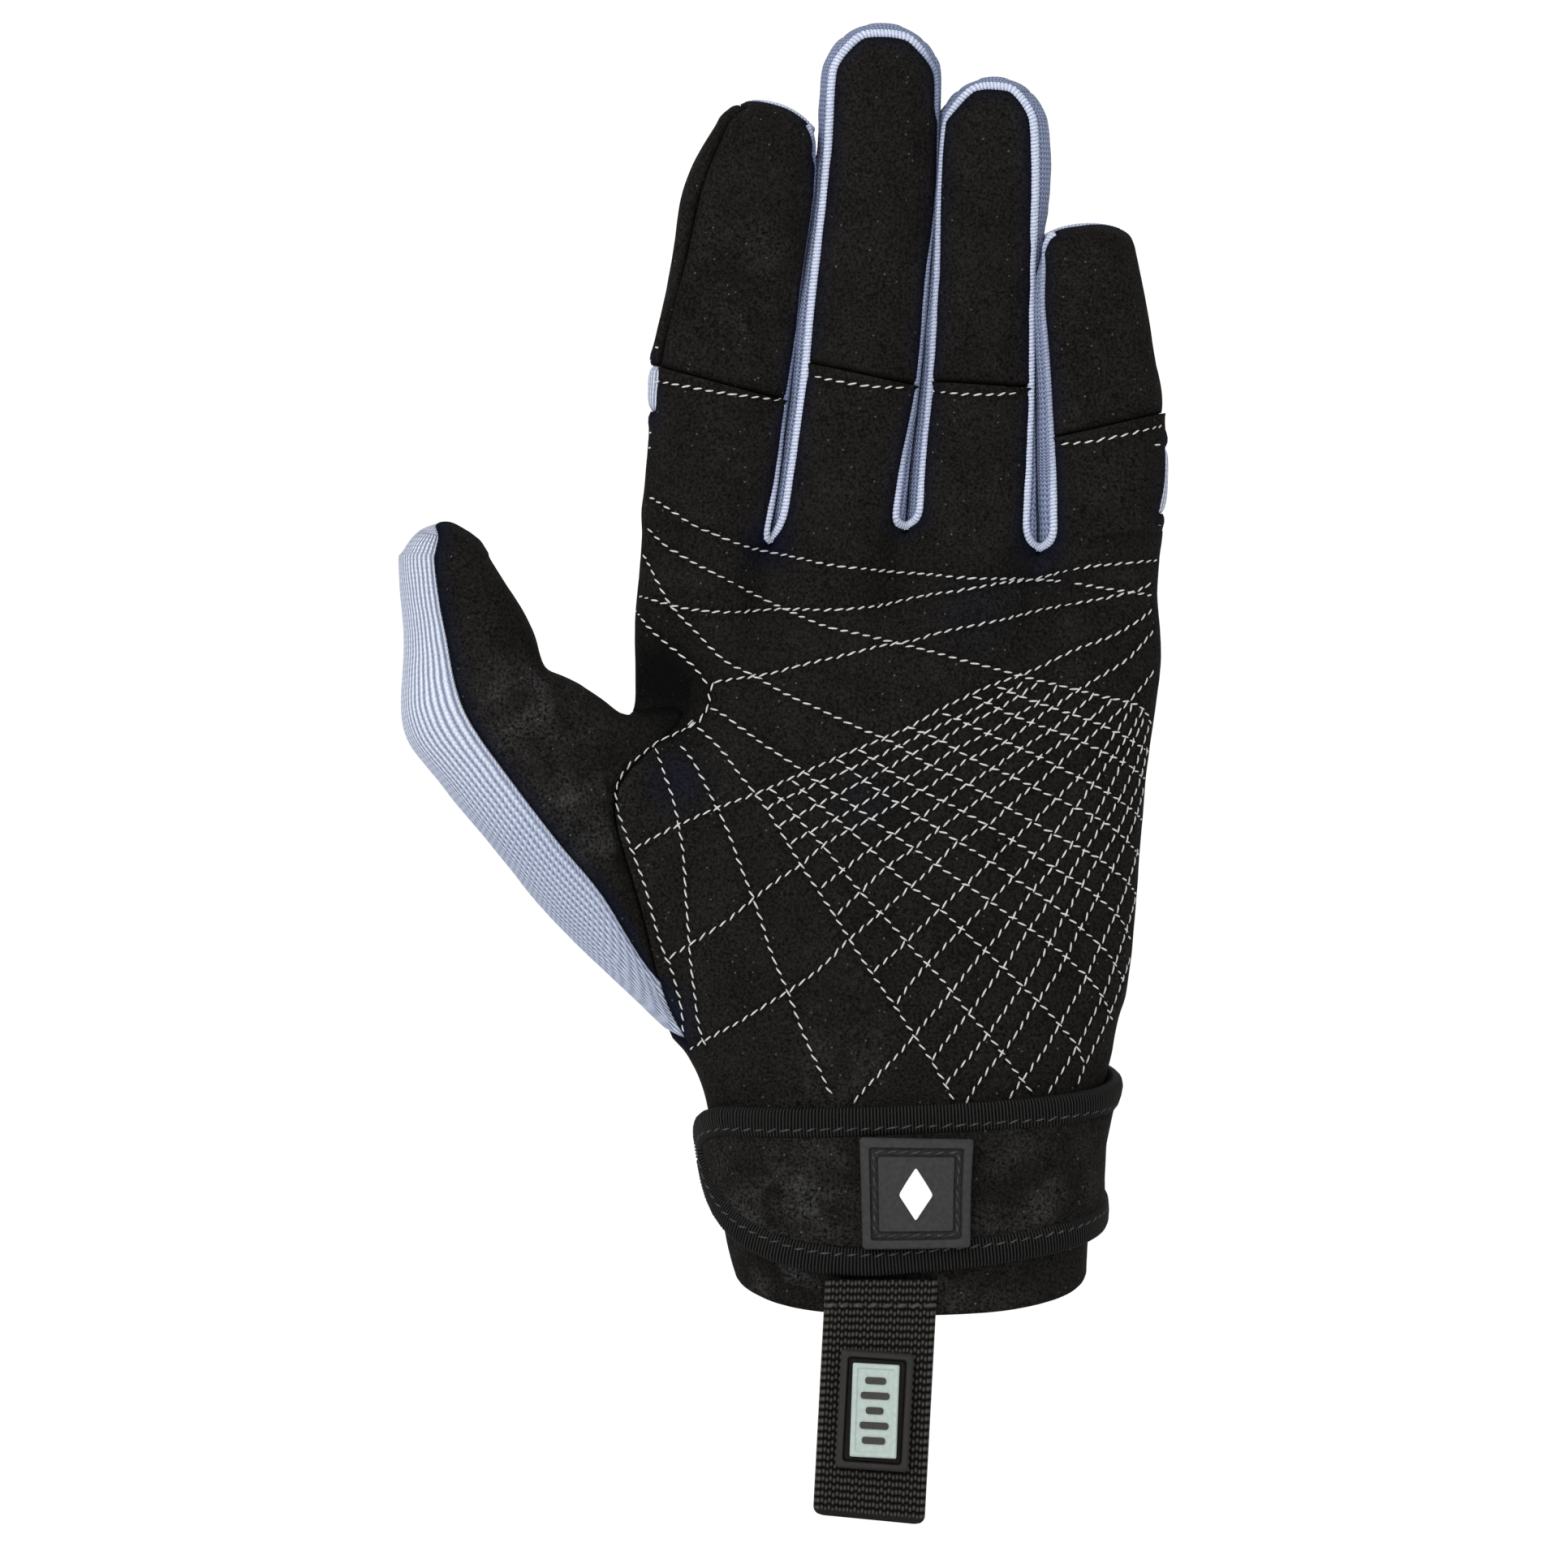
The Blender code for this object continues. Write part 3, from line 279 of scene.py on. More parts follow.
# How a kind of panel rises or sinks by its seam with another kind, in millimetres: edge is at the seam
# and fades over reach, and puff is a soft swelling at a distance from it.
Seam = namedtuple("Seam", "edge reach puff at")
SEAMS = {
    ("suede", "knit"): Seam(-0.30, 0.5, 0.30, 1.5),
    ("knit", "suede"): Seam(-0.60, 0.8, 0.25, 3.0),
    ("knit", "knit"): Seam(-0.20, 0.7, 0.00, 2.5),
    ("palm", "pad"): Seam(0.40, 1.1, 0.00, 1.0),
    ("pad", "palm"): Seam(-0.40, 1.2, 0.30, 4.0),
    ("palm", "thumb"): Seam(0.65, 1.9, 0.00, 1.0),
    ("thumb", "palm"): Seam(-0.50, 1.5, 0.30, 4.0),
    ("suede", "suede"): Seam(-0.85, 0.8, 0.25, 2.4),
}

# The palm's edge over the thumb's sinks away towards the web
WEB_TOP = 113 * MM
WEB_FADE = 12 * MM

# Soft unevenness of the cloth. The layers are scales and strengths.
LUMP_HEIGHT = 0.28 * MM
LUMP_SIZE = 14 * MM
LUMP_LAYERS = ((1, 1), (2.3, 0.45), (5.1, 0.2))
STRAP_LUMPS = 2

# Wrist strap. The ends are turns round the wrist in degrees from the palm side. Slopes towards the
# little finger and tilts towards the back are at the lower and the upper edge. The roundings are the
# lengths over which the free end takes its full width.
STRAP_WIDTH = 30.2 * MM
STRAP_THICKNESS = 2.2 * MM
STRAP_HEIGHT = 28.5 * MM
STRAP_SLOPES = (0.09, 0.035)
STRAP_TILTS = (0.24, 0.19)
STRAP_CLEARANCE = 0.8 * MM
STRAP_FREE_END = -86
STRAP_SEWN_END = 236
STRAP_TIP_RISE = 6 * MM
STRAP_UPPER_ROUNDING = 17 * MM
STRAP_LOWER_ROUNDING = 38 * MM
STRAP_END_POWER = 1.8

# How finely the strap is made, and over how many degrees its direction and its end are measured
STRAP_STEPS = 110
STRAP_COLUMNS = 16
STRAP_END_SHARES = (0, 0.15, 0.3, 0.47, 0.65, 0.82, 1)
STRAP_TURN = 2
STRAP_END_TURN = 90
HALVINGS = 24
REFINEMENTS = 8

# The strap's binding and its stitches. The suede goes in under it by the lap.
BINDING_WIDTH = 5.6 * MM
BINDING_THICKNESS = 3.2 * MM
BINDING_LAP = 0.4 * MM
BINDING_SQUARENESS = 0.7
BINDING_SIDES = 14
BINDING_RIB = 0.62 * MM
BINDING_RIB_HEIGHT = 0.12
BINDING_ROUNDS = 6
BINDING_STITCH = 2.5 * MM
BINDING_STITCH_SHARE = 0.21
BINDING_STITCH_RISE = 0.47

# Moulded pieces: faces round a corner, the longest face, and the angle that stays sharp
CORNER_SEGMENTS = 5
MOULD_CUT = 1.6 * MM
MOULD_ANGLE = 35

# Points of piping and tape for each rib along them
RIB_SAMPLES = 4

# Stitches. The variety is in degrees of turn, shares of length and millimetres sideways. Rise and dip
# set how a stitch comes out of the cloth and goes back, and ply and twist its strand.
STITCH_PITCH = 2.1 * MM
STITCH_SHARE = 0.82
STITCH_RADIUS = 0.155 * MM
STITCH_TILT = 15
STITCH_VARIETY = (6, 0.08, 0.06)
STITCH_VARIETY_TURN = 2.4
STITCH_SIDES = 6
STITCH_SHARES = (-1.0, -0.72, -0.3, 0.3, 0.72, 1.0)
STITCH_TAPER = 0.55
STITCH_RISE = 0.7
STITCH_DIP = 1.15
STITCH_PLY = 0.18
STITCH_TWIST = 2.5
STITCH_GROOVE = 0.28 * MM
STITCH_GROOVE_WIDTH = 0.8 * MM
PATH_STEP = 0.4 * MM
PATH_ROUNDS = 4

# Moulded patch on the strap, its stitches, and the plain mark on it
PATCH_WIDTH = 20.4 * MM
PATCH_HEIGHT = 19.6 * MM
PATCH_THICKNESS = 1.6 * MM
PATCH_OFFSET = 1.5 * MM
PATCH_RISE = -0.5 * MM
PATCH_SLOPE = 0.06
PATCH_RIM = 1.25 * MM
PATCH_CHANNEL = 1.1 * MM
PATCH_DEPTH = 0.45
PATCH_BEVEL = 0.3 * MM
PATCH_CORNER = 0.7 * MM
PATCH_STITCH_SIZE = 1.3
MARK_WIDTH = 6.5 * MM
MARK_HEIGHT = 9.5 * MM
MARK_RELIEF = 0.35 * MM
MARK_CORNER = 0.5 * MM

# Webbing pull tab, with a folded hem at its lower end and a sewn row under the strap
TAB_WIDTH = 20.8 * MM
TAB_DROP = 37.5 * MM
TAB_SLANT = 2 * MM
TAB_THICKNESS = 2.6 * MM
TAB_OFFSET = -5.2 * MM
TAB_SWAY = -2 * MM
TAB_CORNER = 1.6 * MM
TAB_HEM = 1.2 * MM
TAB_HEM_SHADE = 0.45
TAB_EDGE_BULGE = 0.6
TAB_END_THIN = 0.5
TAB_STITCHES = 8
TAB_STITCH_HEIGHT = 2.1 * MM
TAB_STITCH_SIZE = 2.4
TAB_FRONT_COLUMNS = 184
TAB_BACK_COLUMNS = 120
TAB_EDGE_COLUMNS = 5
TAB_ROW_STEP = 0.2 * MM
TAB_DEPTHS = 60

# The webbing's beads: their pitches down and across it, and how far they wander off their row
WEAVE_ROW = 1.36 * MM
WEAVE_BEAD = 0.68 * MM
WEAVE_RELIEF = 0.4 * MM
WEAVE_WANDER = 0.13
WEAVE_WANDER_TURN = 2.7
STRAND_POWER = 0.55
BEAD_POWER = 0.9

# Moulded badge on the tab, and the plate in its recess
BADGE_WIDTH = 13.4 * MM
BADGE_HEIGHT = 21.8 * MM
BADGE_THICKNESS = 1.8 * MM
BADGE_RIM = 1.6 * MM
BADGE_BEVEL = 0.45 * MM
BADGE_FLOOR = 0.5 * MM
BADGE_BELOW_HEM = 17.4 * MM
BADGE_SLOPE = 0.07
BADGE_CORNER = 0.8 * MM
PLATE_WIDTH = 8.6 * MM
PLATE_HEIGHT = 17.2 * MM
PLATE_THICKNESS = 1.5 * MM
PLATE_CORNER = 0.35 * MM
PLATE_BEVEL = 0.25 * MM
PLATE_BORDER = 0.55 * MM
PLATE_TURN = 1

# Plain bars on the plate: place up from the middle and width, as shares of the plate's
BAR_HEIGHT = 1.3 * MM
BAR_RELIEF = 0.18 * MM
BAR_CORNER = BAR_HEIGHT * 0.4
BAR_SINK = PLATE_BEVEL * 1.5
BARS = ((0.32, 0.45), (0.16, 0.62), (0.0, 0.38), (-0.16, 0.62), (-0.32, 0.5))

# Piping along the seams of the finger pads, just outside them, with tapered ends
PIPING_RADIUS = 0.82 * MM
PIPING_THIN = 0.55
PIPING_SHIFT = 0.6
PIPING_TAPER = 2.5 * MM
PIPING_TIP = 0.05
PIPING_SIDES = 10
PIPING_RIB = 0.66 * MM
PIPING_RIB_HEIGHT = 0.1
PIPING_ROUNDS = 16
PIPING_FACING = 0.25
PIPING_SHORTEST = 5

# Where the piping is thick and painted pale as lit: up from the crotches and over the tips, or one half
# of a tip
PIPE_ROOT = 26 * MM
PIPE_TIP_FROM = 0.3
PIPE_TIP_FADE = 0.4
PIPE_HALF = 2.5

# Black suede: a fine nap, larger blotches, dusty smudges, and lint
SUEDE_ROUGHNESS = 0.95
SUEDE_GLOSS = 0.02
SUEDE_DARK = (0.0032, 0.0029, 0.0027, 1)
SUEDE_LIGHT = (0.0140, 0.0127, 0.0117, 1)
NAP_SIZE = 0.5 * MM
NAP_SHARE = 0.85
NAP_RANGE = (0.36, 0.66)
NAP_DEPTH = 0.3 * MM
BLOTCH_SIZE = 9 * MM
BLOTCH_DEPTH = 0.5
DUST_COLOUR = (0.095, 0.095, 0.095, 1)
DUST_SIZE = 7 * MM
DUST_SHARE = 0.5
DUST_EVERYWHERE = 0.05
SMUDGE_RANGE = (0.4, 0.7)
DUST_RANGE = (0.35, 0.75)
LINT_COLOUR = (0.25, 0.25, 0.25, 1)
LINT_SPACING = 2.3 * MM
LINT_SHARE = 0.3
LINT_RANGE = (0.90, 0.97)

# The suede's navy tint beside the knit, and the painted shade in its seam and stitch grooves
SUEDE_NAVY = (0.0040, 0.0065, 0.018, 1)
NAVY_REACH = 1.7 * MM
NAVY_RANGE = (0.1, 1.1)
GROOVE_SHADE_COLOUR = (0.002, 0.002, 0.002, 1)
GROOVE_SHADE_REACH = 0.7
GROOVE_SHADE_SHARE = 0.85
STITCH_SHADE = 0.5

# Soft spots of colour, and of painted shadow, on the palm side, in millimetres: x, z, radius, strength
NAVY_SPOTS = (
    (-42.5, 98.5, 6, 0.5), (-26, 141, 5, 0.4), (25, 138, 5, 0.3), (12, 129, 9, 0.25),
    (-8, 95, 6, 0.3), (-43, 55, 4, 0.5),
)
DUST_SPOTS = (
    (-71.7, 112.5, 9, 1.0), (-62, 97, 9, 0.8), (-55, 86, 6, 0.6), (-11.7, 46.5, 6, 0.8),
    (-22, 22, 11, 0.9), (24, 24, 10, 0.7), (-30, 190, 10, 0.5), (-20, 8, 9, 0.9), (10, 6, 9, 0.6),
)
# Painted shadow in the hollow of the web between the thumb and the palm
PAINTED_SHADOW_SPOTS = (
    (-43.5, 114, 7.5, 0.9), (-46.5, 121, 6.5, 0.7),
)

# Ribbed knit: pale ribs, or slanted stitches where its shade is 1, where the colour is also painted a
# darker blue as shade. Between the ribs the knit is painted darker as shade. The shares are of the
# ribs and of the stitches.
KNIT_ROUGHNESS = 0.85
KNIT_GLOSS = 0.15
KNIT_RIDGE = (0.64, 0.68, 0.78, 1)
KNIT_GROOVE = (0.13, 0.16, 0.25, 1)
SHADED_KNIT_RIDGE = (0.30, 0.35, 0.49, 1)
SHADED_KNIT_GROOVE = (0.045, 0.06, 0.13, 1)
RIB_DEPTH = 0.35 * MM
WOBBLE_SIZE = 3 * MM
WOBBLE_SHARE = 0.3
STITCH_SLANT = 1.2
FUZZ_SIZE = 0.35 * MM
FUZZ_SHARE = 0.5
RIBBED_SHARES = (0.65, 0.5)
RIBBED_POWER = 0.8
TICKED_SHARES = (0.3, 0.55)
KNIT_RANGE = (0.25, 1.1)

# The knit's painted shade at the fronts of the arched fingertips, and at the foot of the thumb, where
# it grows darker downwards
TIP_SHADE_TURN = 0.55
TIP_SHADE_FADE = 0.35
THUMB_SHADE = 0.45
THUMB_SHADE_TOP = 112 * MM
THUMB_SHADE_FADE = 24 * MM

# The piping's colours between its ribs and on them, painted shaded where it is thin and painted lit
# where it is thick; between the ribs they are painted darker as shade
PIPING_SHADED_GROOVE = (0.02, 0.03, 0.07, 1)
PIPING_SHADED_RIDGE = (0.10, 0.13, 0.26, 1)
PIPING_LIT_GROOVE = (0.15, 0.19, 0.33, 1)
PIPING_LIT_RIDGE = (0.74, 0.78, 0.88, 1)
FIBRE_SIZE = 0.3 * MM
FIBRE_SHARE = 0.35
FIBRE_DEPTH = 0.15 * MM
LIT_SHARES = (0.9, 0.5, 0.2)

# Plain finishes: dark, light, roughness, gloss, size and depth of the grain, and the share that
# follows the mesh's shade, a painted shade in the tape's rib grooves, between the webbing's beads
# and in the moulded pieces' recesses
PLAIN_FINISHES = {
    "lining": ((0.02, 0.022, 0.03, 1), (0.04, 0.045, 0.06, 1), 0.95, 0.05, 1.5 * MM, 0.2 * MM),
    "thread": ((0.34, 0.34, 0.33, 1), (0.62, 0.62, 0.60, 1), 0.7, 0.2, 0.3 * MM, 0.08 * MM),
    "grey_thread": (
        (0.02, 0.02, 0.02, 1), (0.075, 0.075, 0.075, 1), 0.6, 0.05, 0.5 * MM, 0.05 * MM,
    ),
    "tape": (
        (0.0006, 0.0006, 0.0006, 1), (0.033, 0.032, 0.031, 1), 0.7, 0.02, 0.5 * MM, 0.1 * MM, 0.9,
    ),
    "webbing": (
        (0.0002, 0.0002, 0.0002, 1), (0.082, 0.075, 0.069, 1), 0.6, 0.02, 0.5 * MM, 0.1 * MM, 0.97,
    ),
    "patch": (
        (0.0005, 0.0005, 0.0005, 1), (0.029, 0.028, 0.028, 1), 0.6, 0.2, 0.8 * MM, 0.04 * MM, 0.6,
    ),
    "badge": (
        (0.002, 0.002, 0.002, 1), (0.021, 0.019, 0.018, 1), 0.5, 0.15, 0.8 * MM, 0.04 * MM, 0.8,
    ),
    "plate": ((0.31, 0.37, 0.345, 1), (0.37, 0.43, 0.405, 1), 0.5, 0.25, 0.8 * MM, 0.03 * MM),
    "mark": ((0.72, 0.72, 0.71, 1), (0.80, 0.80, 0.79, 1), 0.6, 0.3, 0.6 * MM, 0.03 * MM),
    "bar": ((0.030, 0.028, 0.026, 1), (0.040, 0.037, 0.035, 1), 0.6, 0.2, 0.6 * MM, 0.03 * MM),
}
SHADE_POWER = 2.6
GRAIN_RANGE = (0.3, 0.7)

# Stitch lines on the palm side, as points in millimetres across and up, as the camera sees them on the
# upright plane through the origin
NET_LINES = (
    ((-50.7, 86), (-40.9, 91.2), (-31.9, 94.8), (-25.9, 97.2), (-19.9, 99.8), (-13.2, 102.9),
     (-5.7, 105.9), (1.1, 109), (7, 112.3), (14.2, 115.8), (21.3, 118.3), (28.8, 121.8),
     (32.4, 123.4), (37.9, 125.5), (42.6, 128.1), (45.3, 130.3)),
    ((-26.2, 93.3), (-23.4, 95.1), (-19.9, 96.5), (-16.2, 98.5), (-10.9, 100.6), (-6.5, 102.6),
     (-1.9, 105), (4, 107.8), (9.3, 110.4), (14.5, 113), (18.8, 115.2), (21.6, 116.8)),
    ((-24, 90.3), (-20.2, 92.2), (-16.5, 94.3), (-10.9, 97.2), (-5, 100.2), (0.6, 103.5),
     (6.3, 106.2), (10.8, 109), (16.8, 111.9), (20.6, 114.3), (24.3, 116.8)),
    ((-21.9, 87), (-18.1, 89.1), (-12.4, 92.1), (-6.5, 95.5), (-0.4, 99), (4.8, 101.8),
     (9.3, 104.7), (15.3, 107.7), (19.8, 110.5), (24.8, 113.4), (27.3, 115.5), (27.9, 116.5)),
    ((-29.7, 75.8), (-23.7, 80.5), (-19.6, 83.2), (-15.8, 86.5), (-10.5, 89.7), (-2.7, 93.9),
     (4.8, 98.2), (11.1, 102.5), (18.3, 106), (25.1, 111), (30.6, 114.8), (35.5, 117.8),
     (40.8, 121.3), (45.6, 126.4)),
    ((-16.2, 78.8), (-11.7, 82.2), (-7.2, 85.8), (-1.9, 89.2), (3.3, 92.5), (8.5, 96.3), (14.5, 100.2),
     (19.8, 103.8), (26.6, 108.1), (31, 111.6), (34.8, 114.8)),
    ((-13.2, 73.8), (-8.7, 78), (-4.2, 82.5), (1.1, 86), (6, 90), (10.8, 93.3), (16.1, 97.2),
     (21.6, 101), (27, 104.7), (31.8, 108.5), (35.5, 111.5), (38.1, 113.8)),
    ((-40.4, 49), (-31.9, 53.7), (-25.9, 57.3), (-19.9, 61.2), (-14.7, 65.2), (-10.7, 69.5),
     (-5, 74.2), (0.3, 78.8), (5.5, 83.5), (10, 87.8), (15.3, 90.8), (20.6, 95.5), (25.8, 99.8),
     (31, 104.5), (35.5, 108.3), (40, 112.3), (43.8, 116.7), (45.6, 119.1)),
    ((-6.5, 63.3), (-1.9, 67.2), (1.8, 71), (5.8, 74.7), (10.8, 79.5), (15.3, 83.7), (19.8, 88),
     (25.1, 93), (29.5, 97.2), (34, 101.7), (37.5, 106.2), (40, 109.8), (41.7, 113.1)),
    ((-2.2, 57.3), (1.1, 61.8), (5.1, 66.3), (10, 71.2), (15.3, 76.5), (19.8, 81), (24.3, 85.8),
     (28.3, 90.5), (32.5, 95.5), (36.3, 101), (40, 105.8), (42.3, 109.8), (43.6, 112)),
    ((-10.2, 39), (-5, 44.7), (-0.1, 49.9), (4.8, 55.8), (9.3, 61.2), (14.5, 67.5), (19.8, 73.8),
     (24.3, 79.8), (28.1, 84), (32.2, 89.2), (36.3, 95.2), (39.3, 101.2), (42, 106.5),
     (43.8, 110.2)),
    ((4.3, 46.8), (8.5, 52.2), (12.6, 57.4), (18.3, 65), (22.3, 71), (27.6, 78), (31.8, 84.3),
     (35.9, 90.3), (39.3, 95.5), (42.3, 102), (44.7, 109)),
    ((6.8, 42.4), (10.8, 46.8), (15.3, 52.5), (19.5, 58.2), (24.6, 65.7), (29.1, 73.8), (34, 82.2),
     (38.5, 88.8), (41.2, 94.5), (43, 99), (44.4, 105)),
    ((10.5, 38.7), (14.5, 44.7), (19.8, 51.4), (23.6, 57.3), (28.5, 64.5), (31.8, 71.2), (36, 78.8),
     (39.8, 86.2), (42.3, 92.2), (43.6, 97.5)),
    ((18.6, 39.8), (23.6, 46.5), (27.3, 52.2), (31.8, 60), (35.2, 67.2), (38.2, 73.5), (40.8, 79.8),
     (42.6, 86.2)),
    ((25.8, 40.8), (28.5, 44.7), (32.5, 51.8), (35.9, 58.5), (38.2, 64.5), (40.4, 70.8), (42.1, 77.2)),
    ((31.3, 42.4), (33.6, 47.7), (36.3, 53.2), (39, 59.7), (41.1, 66)),
    ((-38.9, 108.8), (-36.5, 106.4), (-34, 103.9), (-32.2, 101.5), (-28.2, 96.3), (-24.4, 91),
     (-19.5, 82.8), (-14.7, 75.8), (-10.5, 69), (-5, 60.8), (-0.1, 53.7), (5.1, 45.8), (8.7, 39.4)),
    ((-25.6, 97.5), (-22.9, 94.8), (-18.9, 90.3), (-15, 86), (-10.7, 80.5), (-5.2, 74.5),
     (-0.1, 68.8), (5.1, 63.3), (10, 57.4), (14.8, 51.8), (19.1, 46.2), (23.1, 40.9)),
    ((-21.4, 99), (-17.7, 95.2), (-12, 90.8), (-6.9, 86), (-0.1, 79.8), (6.3, 74.8), (13.3, 68.2),
     (18.6, 63.3), (24, 58), (28.8, 52.8), (31.5, 49.5), (32.5, 46.2)),
    ((-36.6, 112.3), (-34.2, 111), (-31.9, 109.2), (-25.9, 105), (-19.2, 100.3), (-12.2, 95.5),
     (-4.5, 90.1), (3.3, 84.6), (10.8, 79.5), (18.3, 74.2), (25.1, 69.5), (32.1, 63.6), (35.9, 58.9),
     (37.9, 54.3)),
    ((-13.2, 102.9), (-8.4, 99), (-2.7, 95.2), (4.8, 90.3), (13, 85.2), (20.6, 80.1), (28.1, 74.8),
     (35.1, 68.7), (38.1, 65.2), (40, 61.5)),
    ((-9.2, 104.7), (-4.2, 101), (3.3, 96.5), (10.8, 92.7), (19.1, 87.8), (26.8, 82.8), (34.5, 77.7),
     (39.3, 73.2), (41.2, 69)),
    ((-48.9, 140.7), (-44.1, 131.7), (-39.9, 127), (-33.8, 120.9), (-28.3, 118), (-22.2, 114.6),
     (-14.7, 111.1), (-7.2, 107.7), (-3, 105.8), (4.3, 101.5), (11.5, 97.8), (19.1, 93.3),
     (26.8, 89), (35.2, 84.3), (40.5, 80.1), (42.6, 76.8)),
    ((-0.4, 108.8), (6.3, 106), (13.3, 102), (21.3, 98.5), (29.2, 94.5), (36.8, 90.8), (41.9, 86),
     (42.9, 84.6)),
    ((6.3, 111.3), (13.3, 108.1), (20.8, 104.7), (28.8, 100.8), (36.3, 96.8), (41.5, 93.3),
     (43.5, 91)),
    ((12, 114.5), (18.8, 111), (26.8, 108), (34.8, 104.7), (40.5, 101.7), (43.9, 99)),
    ((16.5, 116.2), (20.6, 114.3), (28.5, 111.6), (34.4, 109.5), (40.4, 106.8), (44.5, 103.8)),
)
QUILT_LINES = (
    ((-47.7, 151.2), (-40.1, 146.3), (-35.5, 144.2), (-31.1, 142.3), (-25.2, 140.9), (-13.2, 138.4),
     (-1.2, 137.2), (12.3, 136.1), (24.3, 135.8), (31.8, 135), (39.3, 133.8), (45.3, 132.8)),
    ((-48.1, 145.6), (-45.2, 142.4), (-40.2, 139.4), (-32.7, 135.4), (-26, 132), (-22.2, 130.1),
     (-15.3, 127.3), (-10.6, 126.1), (-3.4, 124.5), (6.6, 121.9), (14.2, 119.9), (20.6, 118.1),
     (27.3, 116.5), (34.8, 114.5), (41.5, 113.1), (44.1, 111.3), (45, 108.8)),
    ((-49.6, 132.8), (-42.9, 130.9), (-33.8, 129.7), (-26.1, 130.3), (-12.8, 130.3), (-5.7, 130.9),
     (-0.3, 132.2), (9.9, 133.9), (17.6, 135.2), (23.7, 136), (33.6, 138.3), (41.5, 138.9),
     (46.6, 139.5)),
    ((-36, 116.9), (-32.7, 117.3), (-25.4, 118.5), (-21.6, 119.5), (-13.2, 121.5), (-5.7, 123.4),
     (0.9, 124.5), (4.5, 125.7), (11.7, 127.2), (19.8, 129), (27.8, 130.9), (36.1, 132.3),
     (42.6, 133.9), (45.1, 135.2)),
    ((-50.2, 130.2), (-47.7, 126.8), (-43.8, 123.5), (-39.4, 119.6), (-36.8, 116.2)),
    ((-46.7, 105.2), (-44.8, 99.5), (-43.2, 95.2), (-42.1, 89.4), (-41.2, 83), (-40.8, 75),
     (-40.2, 67.5), (-39.6, 61.5), (-38.6, 53.6), (-37.2, 49.5)),
    ((-42, 105.4), (-39.7, 102.4), (-37.3, 97.9), (-34.1, 91.5), (-31, 83.5), (-27.8, 75),
     (-24.6, 65.5), (-21.7, 58.6), (-18.2, 49.5), (-14, 40.5)),
    ((-44.3, 65.8), (-38.7, 69.3), (-33.4, 72.8), (-29.7, 75.8)),
)
THUMB_HOLE_LINES = (
    ((-35.6, 116.9), (-36.7, 115.6), (-36.5, 113.6), (-37.3, 111.4), (-38.3, 109.8), (-40.5, 108.4),
     (-43.6, 107), (-46.2, 105.9), (-48.6, 103.9), (-51.8, 101.1), (-53.9, 97), (-53.4, 92.5),
     (-51.3, 87), (-48.9, 80.3), (-47.1, 74), (-45.3, 67.6), (-43.5, 63.4), (-41.7, 56.6),
     (-41.5, 52)),
)
JOINT_LINES = (
    ((-46.9, 172.5), (-40.2, 171.4), (-31.2, 169.9), (-23.2, 169)),
    ((-17.7, 173.5), (-13.2, 172.5), (-7.2, 171.6), (-0.4, 171.3)),
    ((4, 170.7), (10, 170.1), (16.1, 170.1), (22.1, 170.4)),
    ((28.1, 160.9), (33.3, 161.2), (40, 162.6), (47.1, 164.2)),
)
SEAM_LINES = (*QUILT_LINES, *THUMB_HOLE_LINES, *JOINT_LINES)

# Single stitches at the ends of the flex bands, in the same way
EDGE_LINES = (
    ((-47.4, 179.4), (-45.9, 178.5)), ((-48.0, 176.7), (-46.4, 175.9)),
    ((-48.6, 163.5), (-47.3, 162.9)), ((-48.6, 160.5), (-47.4, 160.1)),
    ((45.6, 161.0), (46.9, 160.5)), ((45.8, 146.2), (47.1, 145.6)),
)

# The bar tack at the top of the thumb hole: its place, its steps, and the run of a stitch
TACK_PLACE = (-41.3, 109.5)
TACK_STEP = (0.1, -0.42)
TACK_RUN = (2.0, 1.4)
TACK_COUNT = 4


def lerp(start, end, share):
    return start + (end - start) * share


def smooth(share):
    share = min(1, max(0, share))
    return share * share * (3 - 2 * share)


def signed_power(value, exponent):
    return math.copysign(abs(value) ** exponent, value)


def between(rows, place):
    """A row of a table at a place between its rows, which go up by their first column."""
    for below, above in zip(rows, rows[1:]):
        if place <= above[0]:
            break
    part = (place - below[0]) / (above[0] - below[0])
    return type(below)(*(lerp(low, high, part) for low, high in zip(below, above)))


def level_at(height):
    return between(PALM_LEVELS, height / PALM_HEIGHT)


def body_size(level):
    """Left, right, front and back of the palm or wrist at a level, from its middle."""
    wide = (WRIST_WIDTH / 2, PALM_WIDTH / 2)
    deep = (WRIST_DEPTH / 2, PALM_DEPTH / 2)
    return (
        lerp(*wide, level.left), lerp(*wide, level.right),
        lerp(*deep, level.front), lerp(*deep, level.back),
    )


def section_shares(angle):
    """Where a squarish section's outline is at an angle: shares of its half width and half depth."""
    turn, power = math.radians(angle), 2 / SECTION_SQUARENESS
    return signed_power(math.sin(turn), power), signed_power(math.cos(turn), power)


def section_angle(share):
    """The angle at which the front of a section's outline is at a share of its half width."""
    return math.degrees(math.asin(signed_power(share, SECTION_SQUARENESS / 2)))


def body_point(level, angle, offset=0.0):
    """A point on the body at an angle from the palm side, positive towards the little finger."""
    left, right, front, back = body_size(level)
    across, forward = section_shares(angle)
    x = ((right if across > 0 else left) + offset) * across
    y = -((front if forward > 0 else back) + offset) * forward
    z = level.height * PALM_HEIGHT + level.tilt * y
    return Vector((x, y + level.lean * WRIST_LEAN, z))


def body_angle(level, x, offset=0.0):
    """The angle at which the palm side of the body is at x."""
    left, right, _, _ = body_size(level)
    return section_angle(x / ((right if x > 0 else left) + offset))


